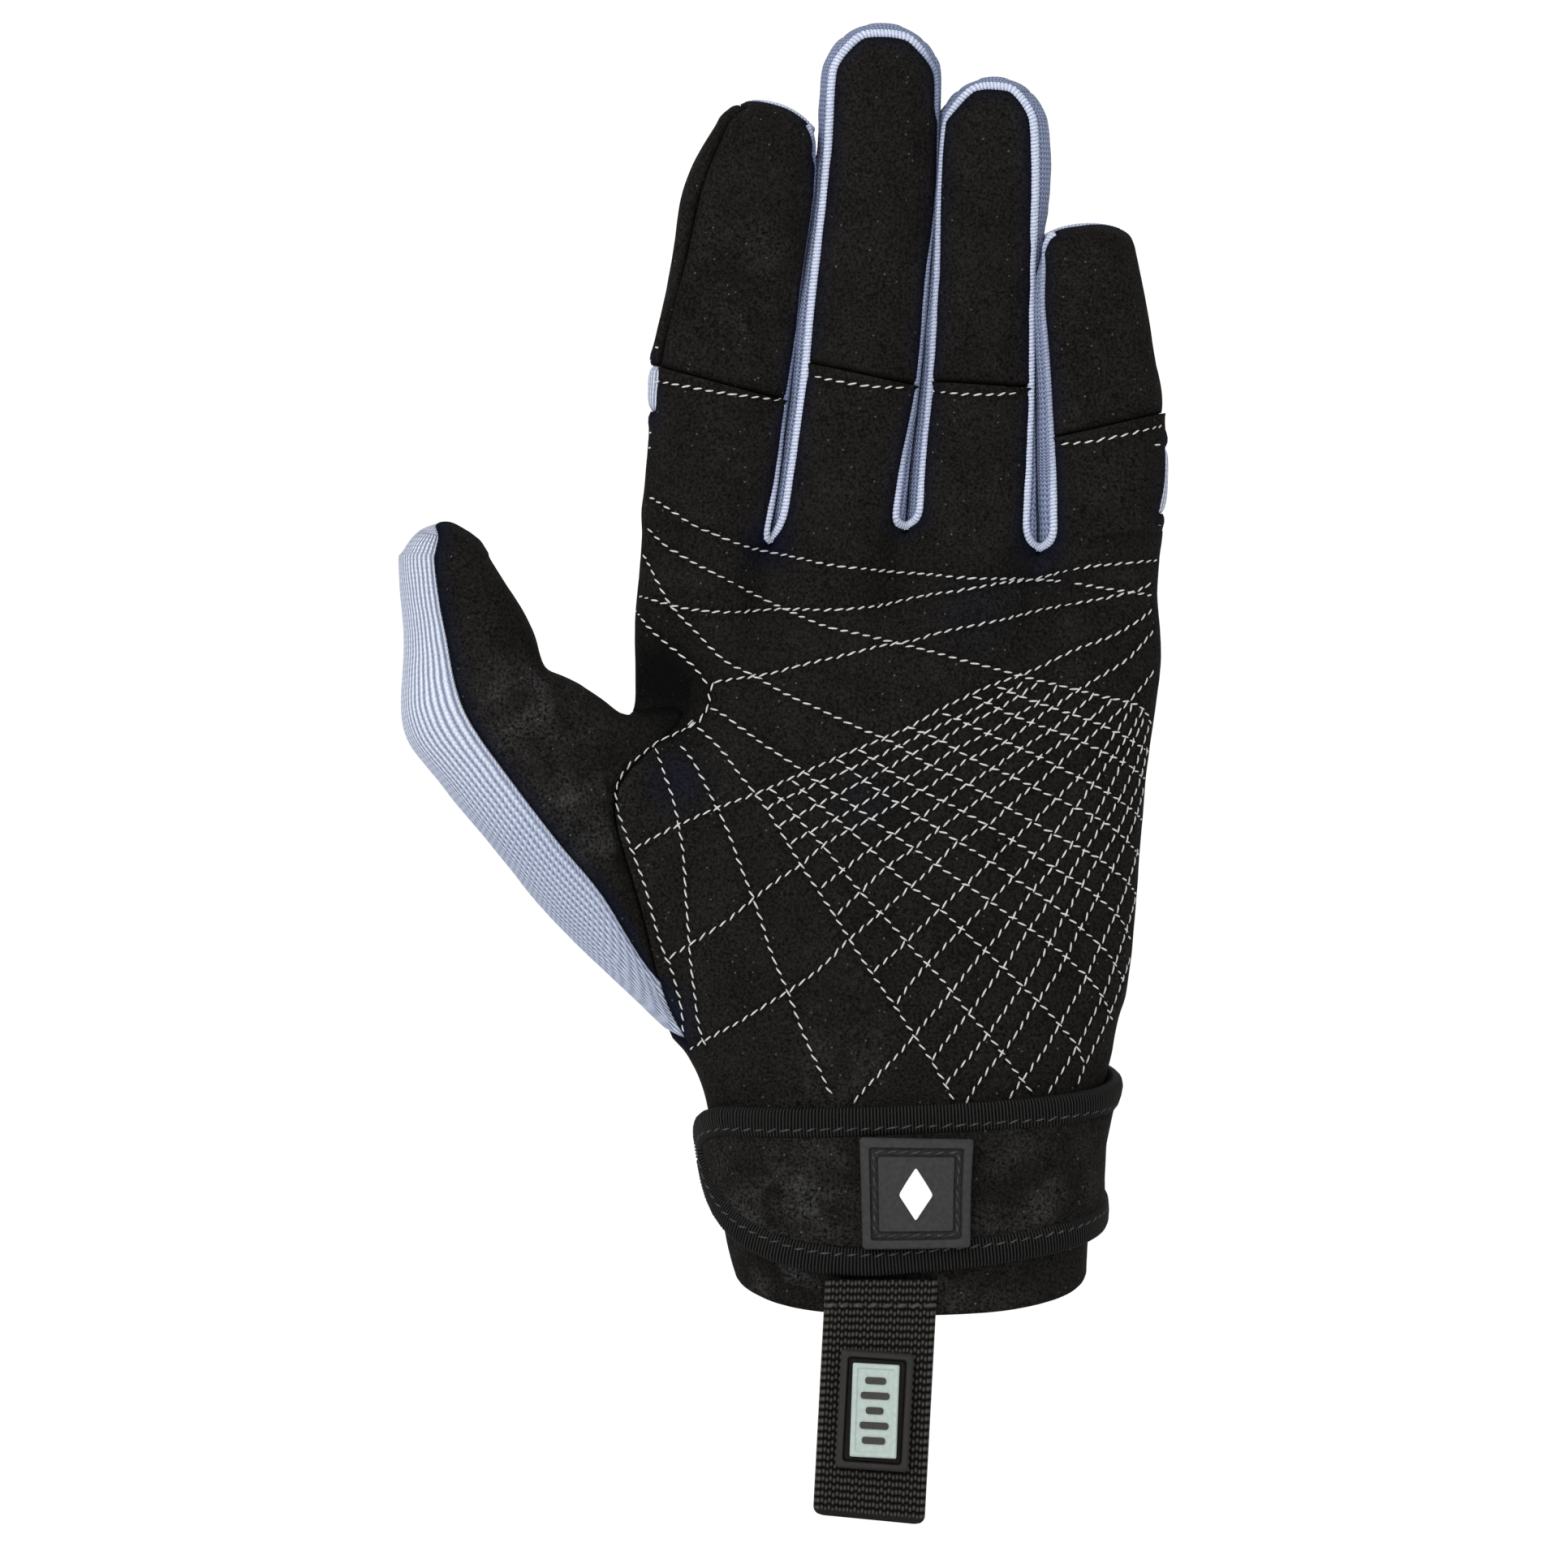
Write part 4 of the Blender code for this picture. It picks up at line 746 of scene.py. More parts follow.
class Cage:
    """The glove's outer surface as quads. Each has the name of its panel, its limb's number, and its
    corners' places on the flat cloth in millimetres, across the ribs and along them."""

    def __init__(self):
        self.points = []
        self.faces = []
        self.panels = []
        self.limbs = []
        self.flats = []
        self.limb = 0

    def add(self, point):
        self.points.append(Vector(point))
        return len(self.points) - 1

    def face(self, corners, panel, flat):
        self.faces.append(tuple(corners))
        self.panels.append(panel)
        self.limbs.append(self.limb)
        self.flats.append(flat)

    def strip(self, lower, upper, panel_of, low, high):
        """Joins two closed rings of points, but not where either has none. panel_of says which panel
        each face belongs to, and low and high are how far along the ribs the rings are."""
        for step, start in enumerate(lower):
            after = (step + 1) % len(lower)
            corners = (start, lower[after], upper[after], upper[step])
            if None not in corners:
                left, right = step * COLUMN_FLAT, (step + 1) * COLUMN_FLAT
                flat = ((left, low), (right, low), (right, high), (left, high))
                self.face(corners, panel_of(step), flat)


# Which panel the faces of a finger or the thumb belong to: side(step) round a ring, and
# tip(column, row) on its end.
Panels = namedtuple("Panels", "side tip")


def finger_centre(finger, share):
    """A point of a finger's centre line, and the direction across it."""
    length = finger.length * FINGER_LENGTH

    def place(at):
        across = between(FINGER_SECTIONS[finger.name], at).centre * PALM_WIDTH / 2
        return Vector((across, -FINGER_CURL * at * at, PALM_HEIGHT + at * length))

    along = place(min(1, share + FINGER_STEP)) - place(max(0, share - FINGER_STEP))
    return place(share), Vector((along.z, 0, -along.x)).normalized()


def ring_angles(front_from, front_to, back_half, front_columns):
    """Angles of a section's ring from the front's left corner round to the start again."""
    back_from, back_to = 180 - back_half, 180 + back_half
    spans = (
        (front_from, front_to, front_columns),
        (front_to, back_from, SIDE_COLUMNS),
        (back_from, back_to, front_columns),
        (back_to, 360 + front_from, SIDE_COLUMNS),
    )
    return [lerp(a, b, i / count) for a, b, count in spans for i in range(count)]


def finger_angles(section, narrowing=1.0):
    """Angles of a finger's ring, with its front corners where the pad's edges are."""
    corners = []
    for edge in (section.pad_left, section.pad_right):
        share = (edge - section.centre) * PALM_WIDTH / (section.width * FINGER_WIDTH)
        corners.append(section_angle(max(-PAD_LIMIT, min(PAD_LIMIT, share)) * narrowing))
    return ring_angles(*corners, FINGER_BACK_CORNER, FINGER_COLUMNS)


def section_ring(cage, centre, across, half_width, half_depth, angles, slope=0.0):
    """A closed ring of points. across is a unit vector, the depth is along Y, and slope tips it."""
    ring = []
    for angle in angles:
        sideways, forward = section_shares(angle)
        side = across * half_width * sideways
        ring.append(cage.add(centre + side + Vector((0, -half_depth * forward, side.x * slope))))
    return ring


def cap(cage, ring, columns, centre, across, sizes, panel_of):
    """Closes a ring with a grid. sizes are the full section's half width, half depth, the dome's
    height and its roundness."""
    half_width, half_depth, height, roundness = sizes
    along = Vector((-across.z, 0, across.x))
    sides = len(ring) // 2 - columns
    grid = [[None] * (columns + 1) for _ in range(sides + 1)]
    for i in range(columns + 1):
        grid[0][i] = ring[i]
        grid[sides][i] = ring[2 * columns + sides - i]
    for j in range(sides + 1):
        grid[j][columns] = ring[columns + j]
        grid[j][0] = ring[-j % len(ring)]

    def at(row, column):
        return cage.points[grid[row][column]]

    for j, i in product(range(1, sides), range(1, columns)):
        u, v = i / columns, j / sides
        flat = at(j, 0).lerp(at(j, columns), u) + at(0, i).lerp(at(sides, i), v)
        flat -= at(0, 0).lerp(at(0, columns), u).lerp(at(sides, 0).lerp(at(sides, columns), u), v)
        side, depth = (flat - centre).dot(across), (flat - centre).y
        radius = min(1, math.hypot(side / half_width, depth / half_depth))
        rise = height * (1 - radius**roundness) ** (1 / roundness)
        grid[j][i] = cage.add(centre + across * side + Vector((0, depth, 0)) + along * rise)
    for j, i in product(range(sides), range(columns)):
        corners = ((j, i), (j, i + 1), (j + 1, i + 1), (j + 1, i))
        flat = [(row * CAP_ROW_FLAT, column * COLUMN_FLAT) for row, column in corners]
        cage.face([grid[row][column] for row, column in corners], panel_of(i, j), flat)


def dome(cage, ring, columns, section, sizes, angle_rows, panels, low, arch=0.0):
    """A finger's or the thumb's rounded end: rings that shrink along an arc, and a cap. arch is how
    far the last ring rises in the middle of its front."""
    centre, across = section
    half_width, half_depth, height, roundness = sizes
    along = Vector((-across.z, 0, across.x))
    step = height * (math.radians(FINGER_CAP_ANGLE) / TIP_ROWS) / MM
    for row, angles in enumerate(angle_rows, 1):
        turn = math.radians(FINGER_CAP_ANGLE * row / TIP_ROWS)
        shrink = math.cos(turn) ** (2 / roundness)
        rise = along * height * math.sin(turn) ** (2 / roundness)
        upper = section_ring(
            cage, centre + rise, across, half_width * shrink, half_depth * shrink, angles
        )
        cage.strip(ring, upper, panels.side, low + step * (row - 1), low + step * row)
        ring = upper
    backward = Vector((0, half_depth * math.tan(turn) / height, 0))
    for i in range(1, columns):
        cage.points[ring[i]] += (along + backward) * arch * math.sin(math.pi * i / columns)
    cap(cage, ring, columns, centre, across, sizes, panels.tip)


def palm_ring(cage, row):
    """One closed ring of the palm: front, right side, back and left side."""
    level = PALM_LEVELS[row]
    left, right = body_point(level, -BODY_CORNER), body_point(level, BODY_CORNER)
    middle = level.lean * WRIST_LEAN
    scallop = smooth((row - SCALLOP_START) / (len(PALM_LEVELS) - 1 - SCALLOP_START))
    front, back = [], []
    for i, share in enumerate(palm_shares()):
        angle = body_angle(level, lerp(left.x, right.x, share))
        for side, turn in ((front, angle), (back, 180 - angle)):
            point = body_point(level, turn) + Vector((0, 0, crotch_lift(i) * scallop))
            point.y = lerp(middle, point.y, lerp(1, scallop_depth(i), scallop))
            side.append(point)
    front[0].x += level.edge * PALM_WIDTH / 2
    side = [lerp(BODY_CORNER, 180 - BODY_CORNER, i / SIDE_COLUMNS) for i in range(1, SIDE_COLUMNS)]
    inside_thumb = THUMB_FOOT < row < THUMB_WEB
    ring = [cage.add(point) for point in front]
    ring += [cage.add(body_point(level, angle)) for angle in side]
    ring += [cage.add(point) for point in reversed(back)]
    for angle in reversed(side):
        ring.append(None if inside_thumb else cage.add(body_point(level, -angle)))
    return ring


def palm_shares():
    """Where the palm's columns run, as shares of the distance between its two front corners."""
    last = PALM_LEVELS[-1]
    left, right = body_point(last, -BODY_CORNER).x, body_point(last, BODY_CORNER).x
    edges = [0.0, *((c.across * PALM_WIDTH / 2 - left) / (right - left) for c in CROTCHES), 1.0]
    shares = [0.0]
    for start, end in zip(edges, edges[1:]):
        shares += [lerp(start, end, i / FINGER_COLUMNS) for i in range(1, FINGER_COLUMNS + 1)]
    return shares


def crotch_lifts():
    """How far the palm's top row rises or falls at each side of each finger."""
    return [0.0, *(crotch.lift * PALM_HEIGHT for crotch in CROTCHES), 0.0]


def crotch_lift(column):
    """How far the palm's top row rises or falls at a column."""
    lifts = crotch_lifts()
    return float(np.interp(column / FINGER_COLUMNS, range(len(lifts)), lifts))


def scallop_depth(column):
    """The palm's depth between two fingers is less than at the middle of a finger's root."""
    if column in (0, FINGER_COLUMNS * len(FINGERS)):
        return 1.0
    part = column % FINGER_COLUMNS / FINGER_COLUMNS
    return lerp(CROTCH_DEPTH, 1.0, math.sin(math.pi * part) ** CROTCH_ROUNDNESS)


def add_palm(cage):
    """The palm and wrist. Returns the rings, and the points of each saddle between two fingers."""
    rings = [palm_ring(cage, row) for row in range(len(PALM_LEVELS))]
    columns = FINGER_COLUMNS * len(FINGERS)
    back_start = columns + SIDE_COLUMNS
    back_end = back_start + columns
    for row, (lower, upper) in enumerate(zip(rings, rings[1:])):

        def panel_of(step, row=row):
            if row < CUFF_TOP:
                return "cuff"
            return "back_panel" if back_start <= step < back_end else "palm_panel"

        low, high = (PALM_LEVELS[i].height * PALM_HEIGHT / MM for i in (row, row + 1))
        cage.strip(lower, upper, panel_of, low, high)
    saddles = []
    for column in range(FINGER_COLUMNS, columns, FINGER_COLUMNS):
        front = cage.points[rings[-1][column]]
        back = cage.points[rings[-1][back_end - column]]
        places = [front.lerp(back, i / SIDE_COLUMNS) for i in range(1, SIDE_COLUMNS)]
        saddles.append([cage.add(place) for place in places])
    return rings, saddles


def finger_panels(number, finger, row):
    """Which panel each face of one row of a finger belongs to."""
    columns, sides = FINGER_COLUMNS, SIDE_COLUMNS
    pad = f"{finger.name}_pad"
    names = [f.name for f in FINGERS]
    below_joint = row < len(ROOT_SHARES)
    outer = "back_panel" if row in FLEX_ROWS.get(finger.name, ()) else "palm_panel"
    first, last = number == 0, number == len(FINGERS) - 1

    def side(step):
        if step < columns:
            return "palm_panel" if below_joint else pad
        if step < columns + sides:
            if not last:
                return f"fourchette_{finger.name}_{names[number + 1]}"
            return outer if below_joint else pad
        if step < 2 * columns + sides:
            return "back_panel"
        if not first:
            return f"fourchette_{names[number - 1]}_{finger.name}"
        return outer if below_joint else "index_side"

    def tip(column, depth_row):
        return pad if (first or last) and depth_row < TIP_SUEDE_ROWS else "back_panel"

    return Panels(side, tip)


def add_finger(cage, number, base_ring):
    finger = FINGERS[number]
    columns = FINGER_COLUMNS
    length = finger.length * FINGER_LENGTH
    tip_width = FINGER_SECTIONS[finger.name][-1].width * FINGER_WIDTH
    dome_height = finger.dome * tip_width
    straight = 1 - dome_height / length
    above = FINGER_ROWS_ABOVE_JOINT
    shares = [finger.joint * share for share in ROOT_SHARES]
    shares += [lerp(finger.joint, straight, i / above) for i in range(1, above + 1)]
    left, right = crotch_lifts()[number : number + 2]
    ring = base_ring
    cage.limb = number + 1
    low = 0
    for row, share in enumerate(shares):
        section = between(FINGER_SECTIONS[finger.name], share)
        centre, across = finger_centre(finger, share)
        half_width = section.width * FINGER_WIDTH / 2
        half_depth = FINGER_DEPTH / 2 * lerp(1, FINGER_TOP_DEPTH, share)
        angles = finger_angles(section)
        slope = finger.slope * JOINT_SLOPES.get(row - len(ROOT_SHARES) + 1, 0)
        if row < len(ROOT_LIFTS):
            slope += ROOT_LIFTS[row] * (right - left) / (2 * half_width)
            centre.z += ROOT_LIFTS[row] * (left + right) / 2
            half_depth *= ROOT_DEPTHS[row]
        upper = section_ring(cage, centre, across, half_width, half_depth, angles, slope)
        high = share * length / MM
        cage.strip(ring, upper, finger_panels(number, finger, row).side, low, high)
        ring, low = upper, high
    rows = [finger_angles(section, lerp(1, share, finger.arch)) for share in TIP_NARROWING]
    dome(
        cage, ring, columns, (centre, across),
        (half_width, half_depth, dome_height, finger.roundness), rows,
        finger_panels(number, finger, len(shares)), low, finger.arch * TIP_ARCH,
    )


def finger_base(rings, saddles, number):
    """The ring of points that a finger grows from, on the palm's top row and the saddles."""
    top = rings[-1]
    columns, sides = FINGER_COLUMNS, SIDE_COLUMNS
    total = columns * len(FINGERS)
    back_end = total + sides + total
    start = number * columns
    front = top[start : start + columns + 1]
    back = [top[back_end - start - i] for i in range(columns, -1, -1)]
    right = top[total + 1 : total + sides] if number == len(FINGERS) - 1 else saddles[number]
    left = top[back_end + 1 :] if number == 0 else saddles[number - 1][::-1]
    return [*front, *right, *back, *left]


def thumb_panels(columns):
    """The thumb's suede covers its pad and the side towards the palm, and knit the rest."""
    knit = THUMB_KNIT_COLUMNS

    def side(step):
        return "thumb_front" if knit <= step < columns + SIDE_COLUMNS else "thumb_back"

    def tip(column, depth_row):
        suede = column >= knit and depth_row < TIP_SUEDE_ROWS
        return "thumb_front" if suede else "thumb_back"

    return Panels(side, tip)


def add_thumb(cage, rings):
    columns = THUMB_WEB - THUMB_FOOT
    foot, web = rings[THUMB_FOOT], rings[THUMB_WEB]
    palm_columns = FINGER_COLUMNS * len(FINGERS)
    corner = 2 * palm_columns + SIDE_COLUMNS
    ring = [rings[row][0] for row in range(THUMB_FOOT, THUMB_WEB + 1)]
    ring += web[:corner:-1]
    ring += [rings[row][corner] for row in range(THUMB_WEB, THUMB_FOOT - 1, -1)]
    ring += foot[corner + 1 :]
    panels = thumb_panels(columns)
    foot_height = PALM_LEVELS[THUMB_FOOT].height * PALM_HEIGHT
    count = len(THUMB_SECTIONS)
    cage.limb = LIMBS.index("thumb")
    low, before = 0, None
    for number, row in enumerate(THUMB_SECTIONS, 1):
        curl = -THUMB_CURL * (number / count) ** 2
        outer, inner = (
            Vector((-PALM_WIDTH / 2 - out * THUMB_REACH, curl, foot_height + up * THUMB_RISE))
            for out, up in ((row.outer_out, row.outer_up), (row.inner_out, row.inner_up))
        )
        centre, across = (outer + inner) / 2, (inner - outer).normalized()
        half_width, half_depth = (inner - outer).length / 2, row.depth * THUMB_DEPTH / 2
        angles = thumb_angles(row.seam, columns)
        upper = section_ring(cage, centre, across, half_width, half_depth, angles)
        high = low + (centre - before).length / MM if before else COLUMN_FLAT
        cage.strip(ring, upper, panels.side, low, high)
        ring, low, before = upper, high, centre
    sizes = (half_width, half_depth, 2 * half_width * THUMB_DOME, THUMB_ROUNDNESS)
    dome(cage, ring, columns, (centre, across), sizes, [angles] * TIP_ROWS, panels, low)


def thumb_angles(seam, columns):
    """Angles of the thumb's ring, with the suede's edge at a share of half its width."""
    edge = section_angle(seam)
    knit = [lerp(-THUMB_PAD, edge, i / THUMB_KNIT_COLUMNS) for i in range(THUMB_KNIT_COLUMNS)]
    wide = columns - THUMB_KNIT_COLUMNS
    suede = [lerp(edge, THUMB_PAD, i / wide) for i in range(wide)]
    return knit + suede + ring_angles(-THUMB_PAD, THUMB_PAD, THUMB_PAD, columns)[columns:]


def glove_cage():
    cage = Cage()
    rings, saddles = add_palm(cage)
    for number in range(len(FINGERS)):
        add_finger(cage, number, finger_base(rings, saddles, number))
    add_thumb(cage, rings)
    return cage


def link(obj):
    bpy.context.scene.collection.objects.link(obj)
    return obj


class Shell:
    """The subdivided cage as arrays: points, normals, quads, and for each quad its panel, its limb
    and its corners' places on the flat cloth."""

    def __init__(self, cage):
        wanted = np.array([tuple(p) for p in cage.points])
        placed = wanted.copy()
        for _ in range(OUTLINE_ROUNDS):
            self.read(cage, placed)
            placed += wanted - self.points[: len(wanted)]
        self.read(cage, placed)
        self.names = sorted(set(cage.panels))
        panels = np.array([self.names.index(panel) for panel in cage.panels])
        limbs = np.array(cage.limbs)
        self.panels, self.limbs = panels[self.sources], limbs[self.sources]
        self.part_limbs()

    def read(self, cage, placed):
        mesh = bpy.data.meshes.new("shell_cage")
        mesh.from_pydata(placed.tolist(), [], cage.faces)
        source = mesh.attributes.new("source", "INT", "FACE")
        source.data.foreach_set("value", list(range(len(cage.faces))))
        flat = mesh.uv_layers.new(name="flat")
        flat.data.foreach_set("uv", np.array(cage.flats, dtype=np.float32).ravel())
        obj = link(bpy.data.objects.new("shell_cage", mesh))
        finer = obj.modifiers.new("finer", "SUBSURF")
        finer.levels = finer.render_levels = SHELL_LEVELS
        fine = obj.evaluated_get(bpy.context.evaluated_depsgraph_get()).data
        self.points = read_array(fine.vertices, "co", (-1, 3))
        self.quads = read_array(fine.loops, "vertex_index", (-1, 4), np.int32)
        self.sources = read_array(fine.attributes["source"].data, "value", (-1,), np.int32)
        self.flats = read_array(fine.uv_layers["flat"].data, "uv", (-1, 4, 2))
        bpy.data.objects.remove(obj)
        bpy.data.meshes.remove(mesh)

    def part_limbs(self):
        """The limb of each point, or -1 where two limbs share it."""
        unseen, shared = -2, -1
        self.point_limbs = np.full(len(self.points), unseen)
        for corner in self.quads.T:
            seen = self.point_limbs[corner]
            own = (seen == unseen) | (seen == self.limbs)
            self.point_limbs[corner] = np.where(own, self.limbs, shared)

    def find_normals(self):
        a, b, c, d = (self.points[self.quads[:, i]] for i in range(4))
        across = np.cross(c - a, d - b)
        normals = np.zeros_like(self.points)
        for corner in self.quads.T:
            np.add.at(normals, corner, across)
        self.normals = unit(normals)

    def tree(self):
        return BVHTree.FromPolygons(self.points.tolist(), self.quads.tolist())


def read_array(items, name, shape, kind=np.float64):
    width = {"co": 3, "uv": 2}.get(name, 1)
    found = np.empty(len(items) * width, np.float32 if kind is np.float64 else kind)
    items.foreach_get(name, found)
    return found.reshape(shape).astype(kind)


def press_fingers(points, limbs):
    """Fingers that touch are flattened against each other, with a hair's gap between them."""
    half = PALM_WIDTH / 2
    share = (points[:, 2] - PALM_HEIGHT) / FINGER_LENGTH
    moved = points.copy()
    for number, (heights, places) in enumerate(CONTACTS, 1):
        contact = np.interp(share, heights, places) * half
        contact += CONTACT_WAVE * np.sin(points[:, 1] / CONTACT_WAVE_REACH)
        fade = np.clip((heights[-1] - share) / CONTACT_FADE, 0, 1)
        for limb, side in ((number, -1), (number + 1, 1)):
            chosen = (limbs == limb) & (share > CONTACT_FROM)
            away = side * (moved[:, 0] - contact)
            press = FINGER_PRESS * fade
            free = np.maximum(0, away - press)
            pressed = free + press * (1 - np.exp(-free / FINGER_PRESS_REACH))
            pressed = np.maximum(pressed, FINGER_GAP)
            moved[:, 0] = np.where(chosen, contact + side * pressed, moved[:, 0])
    return moved


def kind_of(panel, beside):
    """What a panel counts as beside another one, for the shape of their seam."""
    kinds = dict.fromkeys(KNIT_PANELS, "knit") | {"palm_panel": "palm", "thumb_front": "thumb"}
    pair = tuple(kinds.get(name, "pad") for name in (panel, beside))
    if pair in SEAMS:
        return pair
    return tuple("knit" if kind == "knit" else "suede" for kind in pair)


def seam_edges(shell):
    """Every edge between two panels: its two points and the panels on its two sides."""
    starts = shell.quads.ravel()
    ends = np.roll(shell.quads, -1, axis=1).ravel()
    owners = np.repeat(np.arange(len(shell.quads)), 4)
    keys = np.minimum(starts, ends).astype(np.int64) * len(shell.points) + np.maximum(starts, ends)
    order = np.argsort(keys, kind="stable")
    keys, owners = keys[order], owners[order]
    starts, ends = starts[order], ends[order]
    twin = np.nonzero(keys[:-1] == keys[1:])[0]
    first, second = owners[twin], owners[twin + 1]
    apart = shell.panels[first] != shell.panels[second]
    twin, first, second = twin[apart], first[apart], second[apart]
    columns = (starts[twin], ends[twin], shell.panels[first], shell.panels[second])
    return list(zip(*(column.tolist() for column in columns)))


def seam_trees(shell, edges):
    """For each panel, a tree of the points along its seams, and each one's panel on the far side."""
    found = {}
    for start, end, one, other in edges:
        a, b = shell.points[start], shell.points[end]
        for own, far in ((one, other), (other, one)):
            found.setdefault(own, []).extend((lerp(a, b, share), far) for share in (0, 0.5))
    return {
        own: (point_tree([place for place, _ in rows]), [far for _, far in rows])
        for own, rows in found.items()
    }


def point_tree(places):
    """A tree that finds the nearest of some places."""
    tree = kdtree.KDTree(len(places))
    for i, place in enumerate(places):
        tree.insert(place, i)
    tree.balance()
    return tree


def lump(point, seed):
    """A soft unevenness of cloth that a hand fills, between -1 and 1."""
    place = Vector(point) / LUMP_SIZE + Vector((seed, seed, seed))
    return sum(noise.noise(place * scale) * strength for scale, strength in LUMP_LAYERS)


def raised(shell, panel, used, trees, stitches):
    """How far each of a panel's points rises, how near it is to knit, and its painted shade in the
    grooves of its seams and stitch lines, these two from 0 to 1.
    """
    tree, beside = trees[panel]
    name = shell.names[panel]
    heights, navy, groove = (np.zeros(len(used)) for _ in range(3))
    quilted = name not in KNIT_PANELS
    for n, i in enumerate(used):
        point = shell.points[i]
        _, index, distance = tree.find(point)
        other = shell.names[beside[index]]
        seam = SEAMS[kind_of(name, other)]
        d = distance / MM
        edge = seam.edge
        if {name, other} == {"palm_panel", "thumb_front"}:
            edge *= smooth((WEB_TOP - point[2]) / WEB_FADE)
        puff = seam.puff * math.exp(-(((d - seam.at) / seam.at) ** 2))
        heights[n] = (edge * math.exp(-d / seam.reach) + puff) * MM
        heights[n] += LUMP_HEIGHT * lump(point, panel)
        # Painted shade where the seam sinks
        groove[n] = math.exp(-d / GROOVE_SHADE_REACH) if edge < 0 else 0
        if quilted:
            sewn = math.exp(-((stitches.find(point)[2] / STITCH_GROOVE_WIDTH) ** 2))
            heights[n] -= STITCH_GROOVE * sewn
            # Painted shade in the stitch line's groove
            groove[n] = max(groove[n], STITCH_SHADE * sewn)
            if other in KNIT_PANELS:
                navy[n] = math.exp(-distance / NAVY_REACH)
    return heights, navy, groove


def spots(points, rows):
    """Soft round spots on the palm side: their sum at each point."""
    total = np.zeros(len(points))
    for x, z, radius, strength in rows:
        near = np.hypot(points[:, 0] / MM - x, points[:, 2] / MM - z) / radius
        total += strength * np.exp(-near * near)
    return total * (points[:, 1] < 0)


def panel_tints(shell, name, used, navy, groove):
    """What a panel's finish reads at each point: navy, dust and painted shade in grooves and hollows
    on suede, and on knit a shade that paints it darker and gives it slanted stitches.
    """
    points, normals = shell.points[used], shell.normals[used]
    if name not in KNIT_PANELS:
        return {
            "navy": np.clip(navy + spots(points, NAVY_SPOTS), 0, 1),
            "dust": spots(points, DUST_SPOTS),
            # Painted shade in the grooves, and painted shadow in the hollow by the thumb's web
            "groove": np.clip(groove + spots(points, PAINTED_SHADOW_SPOTS), 0, 1),
        }
    # On knit, shade is painted shade with slanted stitches: all over the fourchettes, on the arched
    # tips where they face the palm side, and low on the thumb
    if name.startswith("fourchette"):
        return {"shade": np.ones(len(used))}
    limbs = shell.point_limbs[used]
    arched = [number for number, finger in enumerate(FINGERS, 1) if finger.arch]
    facing = np.clip((TIP_SHADE_TURN - normals[:, 1]) / TIP_SHADE_FADE, 0, 1)
    low = np.clip((THUMB_SHADE_TOP - points[:, 2]) / THUMB_SHADE_FADE, 0, 1) * THUMB_SHADE
    on_thumb = limbs == LIMBS.index("thumb")
    return {"shade": np.where(np.isin(limbs, arched), facing, np.where(on_thumb, low, 0))}


def camera_ray(x, z):
    """From the camera through a point of the upright plane through the origin."""
    start = Vector(CAMERA_PLACE)
    return start, (Vector((x, 0, z)) - start).normalized()


def curve_through(points, step):
    """Points close together on a smooth curve through the given ones."""
    points = np.array([tuple(p) for p in points], float)
    ends = (2 * points[0] - points[1], 2 * points[-1] - points[-2])
    padded = np.vstack([ends[0], points, ends[1]])
    rows = []
    for i in range(1, len(padded) - 2):
        a, b, c, d = padded[i - 1 : i + 3]
        count = max(1, round(float(np.linalg.norm(c - b)) / step))
        for k in range(count):
            t = k / count
            bend = (2 * a - 5 * b + 4 * c - d) * t * t + (3 * b - a - 3 * c + d) * t**3
            rows.append((2 * b + (c - a) * t + bend) / 2)
    rows.append(points[-1])
    return np.array(rows)


def even_steps(points, step):
    """Rows in equal steps along a line. The first three numbers of a row are its place."""
    points = np.asarray(points)
    lengths = np.linalg.norm(np.diff(points[:, :3], axis=0), axis=1)
    along = np.concatenate([[0], np.cumsum(lengths)])
    count = max(1, int(along[-1] / step))
    places = np.linspace(0, along[-1], count + 1)
    return np.stack([np.interp(places, along, points[:, i]) for i in range(points.shape[1])], axis=1)


def on_surface(tree, line):
    """A stitch line as points on the glove, where the camera sees it."""
    flat = curve_through([(x * MM, z * MM) for x, z in line], PATH_STEP)
    hits = [tree.ray_cast(*camera_ray(x, z)) for x, z in flat]
    return np.array([(*place, *normal) for place, normal, _, _ in hits if place is not None])


def loft_faces(rows, sides, start=0):
    """Quads through closed rings of points, and a face on each end."""
    faces = []
    last = start + (rows - 1) * sides
    for a in range(start, last, sides):
        for i in range(sides):
            j = (i + 1) % sides
            faces.append((a + i, a + j, a + sides + j, a + sides + i))
    return [*faces, tuple(range(start, start + sides))[::-1], tuple(range(last, last + sides))]


def add_piece(name, finish, points, faces, replaced=()):
    """A finished piece as a mesh that rides on the glove."""
    mesh = bpy.data.meshes.new(name)
    mesh.from_pydata(np.asarray(points).tolist(), [], faces)
    mesh.validate()
    mesh.shade_smooth()
    return dress(link(bpy.data.objects.new(name, mesh)), finish, replaced)


def add_shade(obj, values, name="shade"):
    """A value for each point that the finish reads."""
    layer = obj.data.attributes.new(name, "FLOAT", "POINT")
    layer.data.foreach_set("value", np.asarray(values, np.float32))


def dress(obj, finish, replaced=()):
    obj.data.materials.clear()
    obj.data.materials.append(finish)
    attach(obj, "root")
    if replaced:
        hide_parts(*replaced)
    return obj


def rim_directions(points, quads, edge_points):
    """For each point on a panel's edge, the way into the panel."""
    middle = points[quads].mean(axis=1)
    total = np.zeros_like(points)
    for corner in quads.T:
        np.add.at(total, corner, middle - points[corner])
    return unit(total[edge_points])


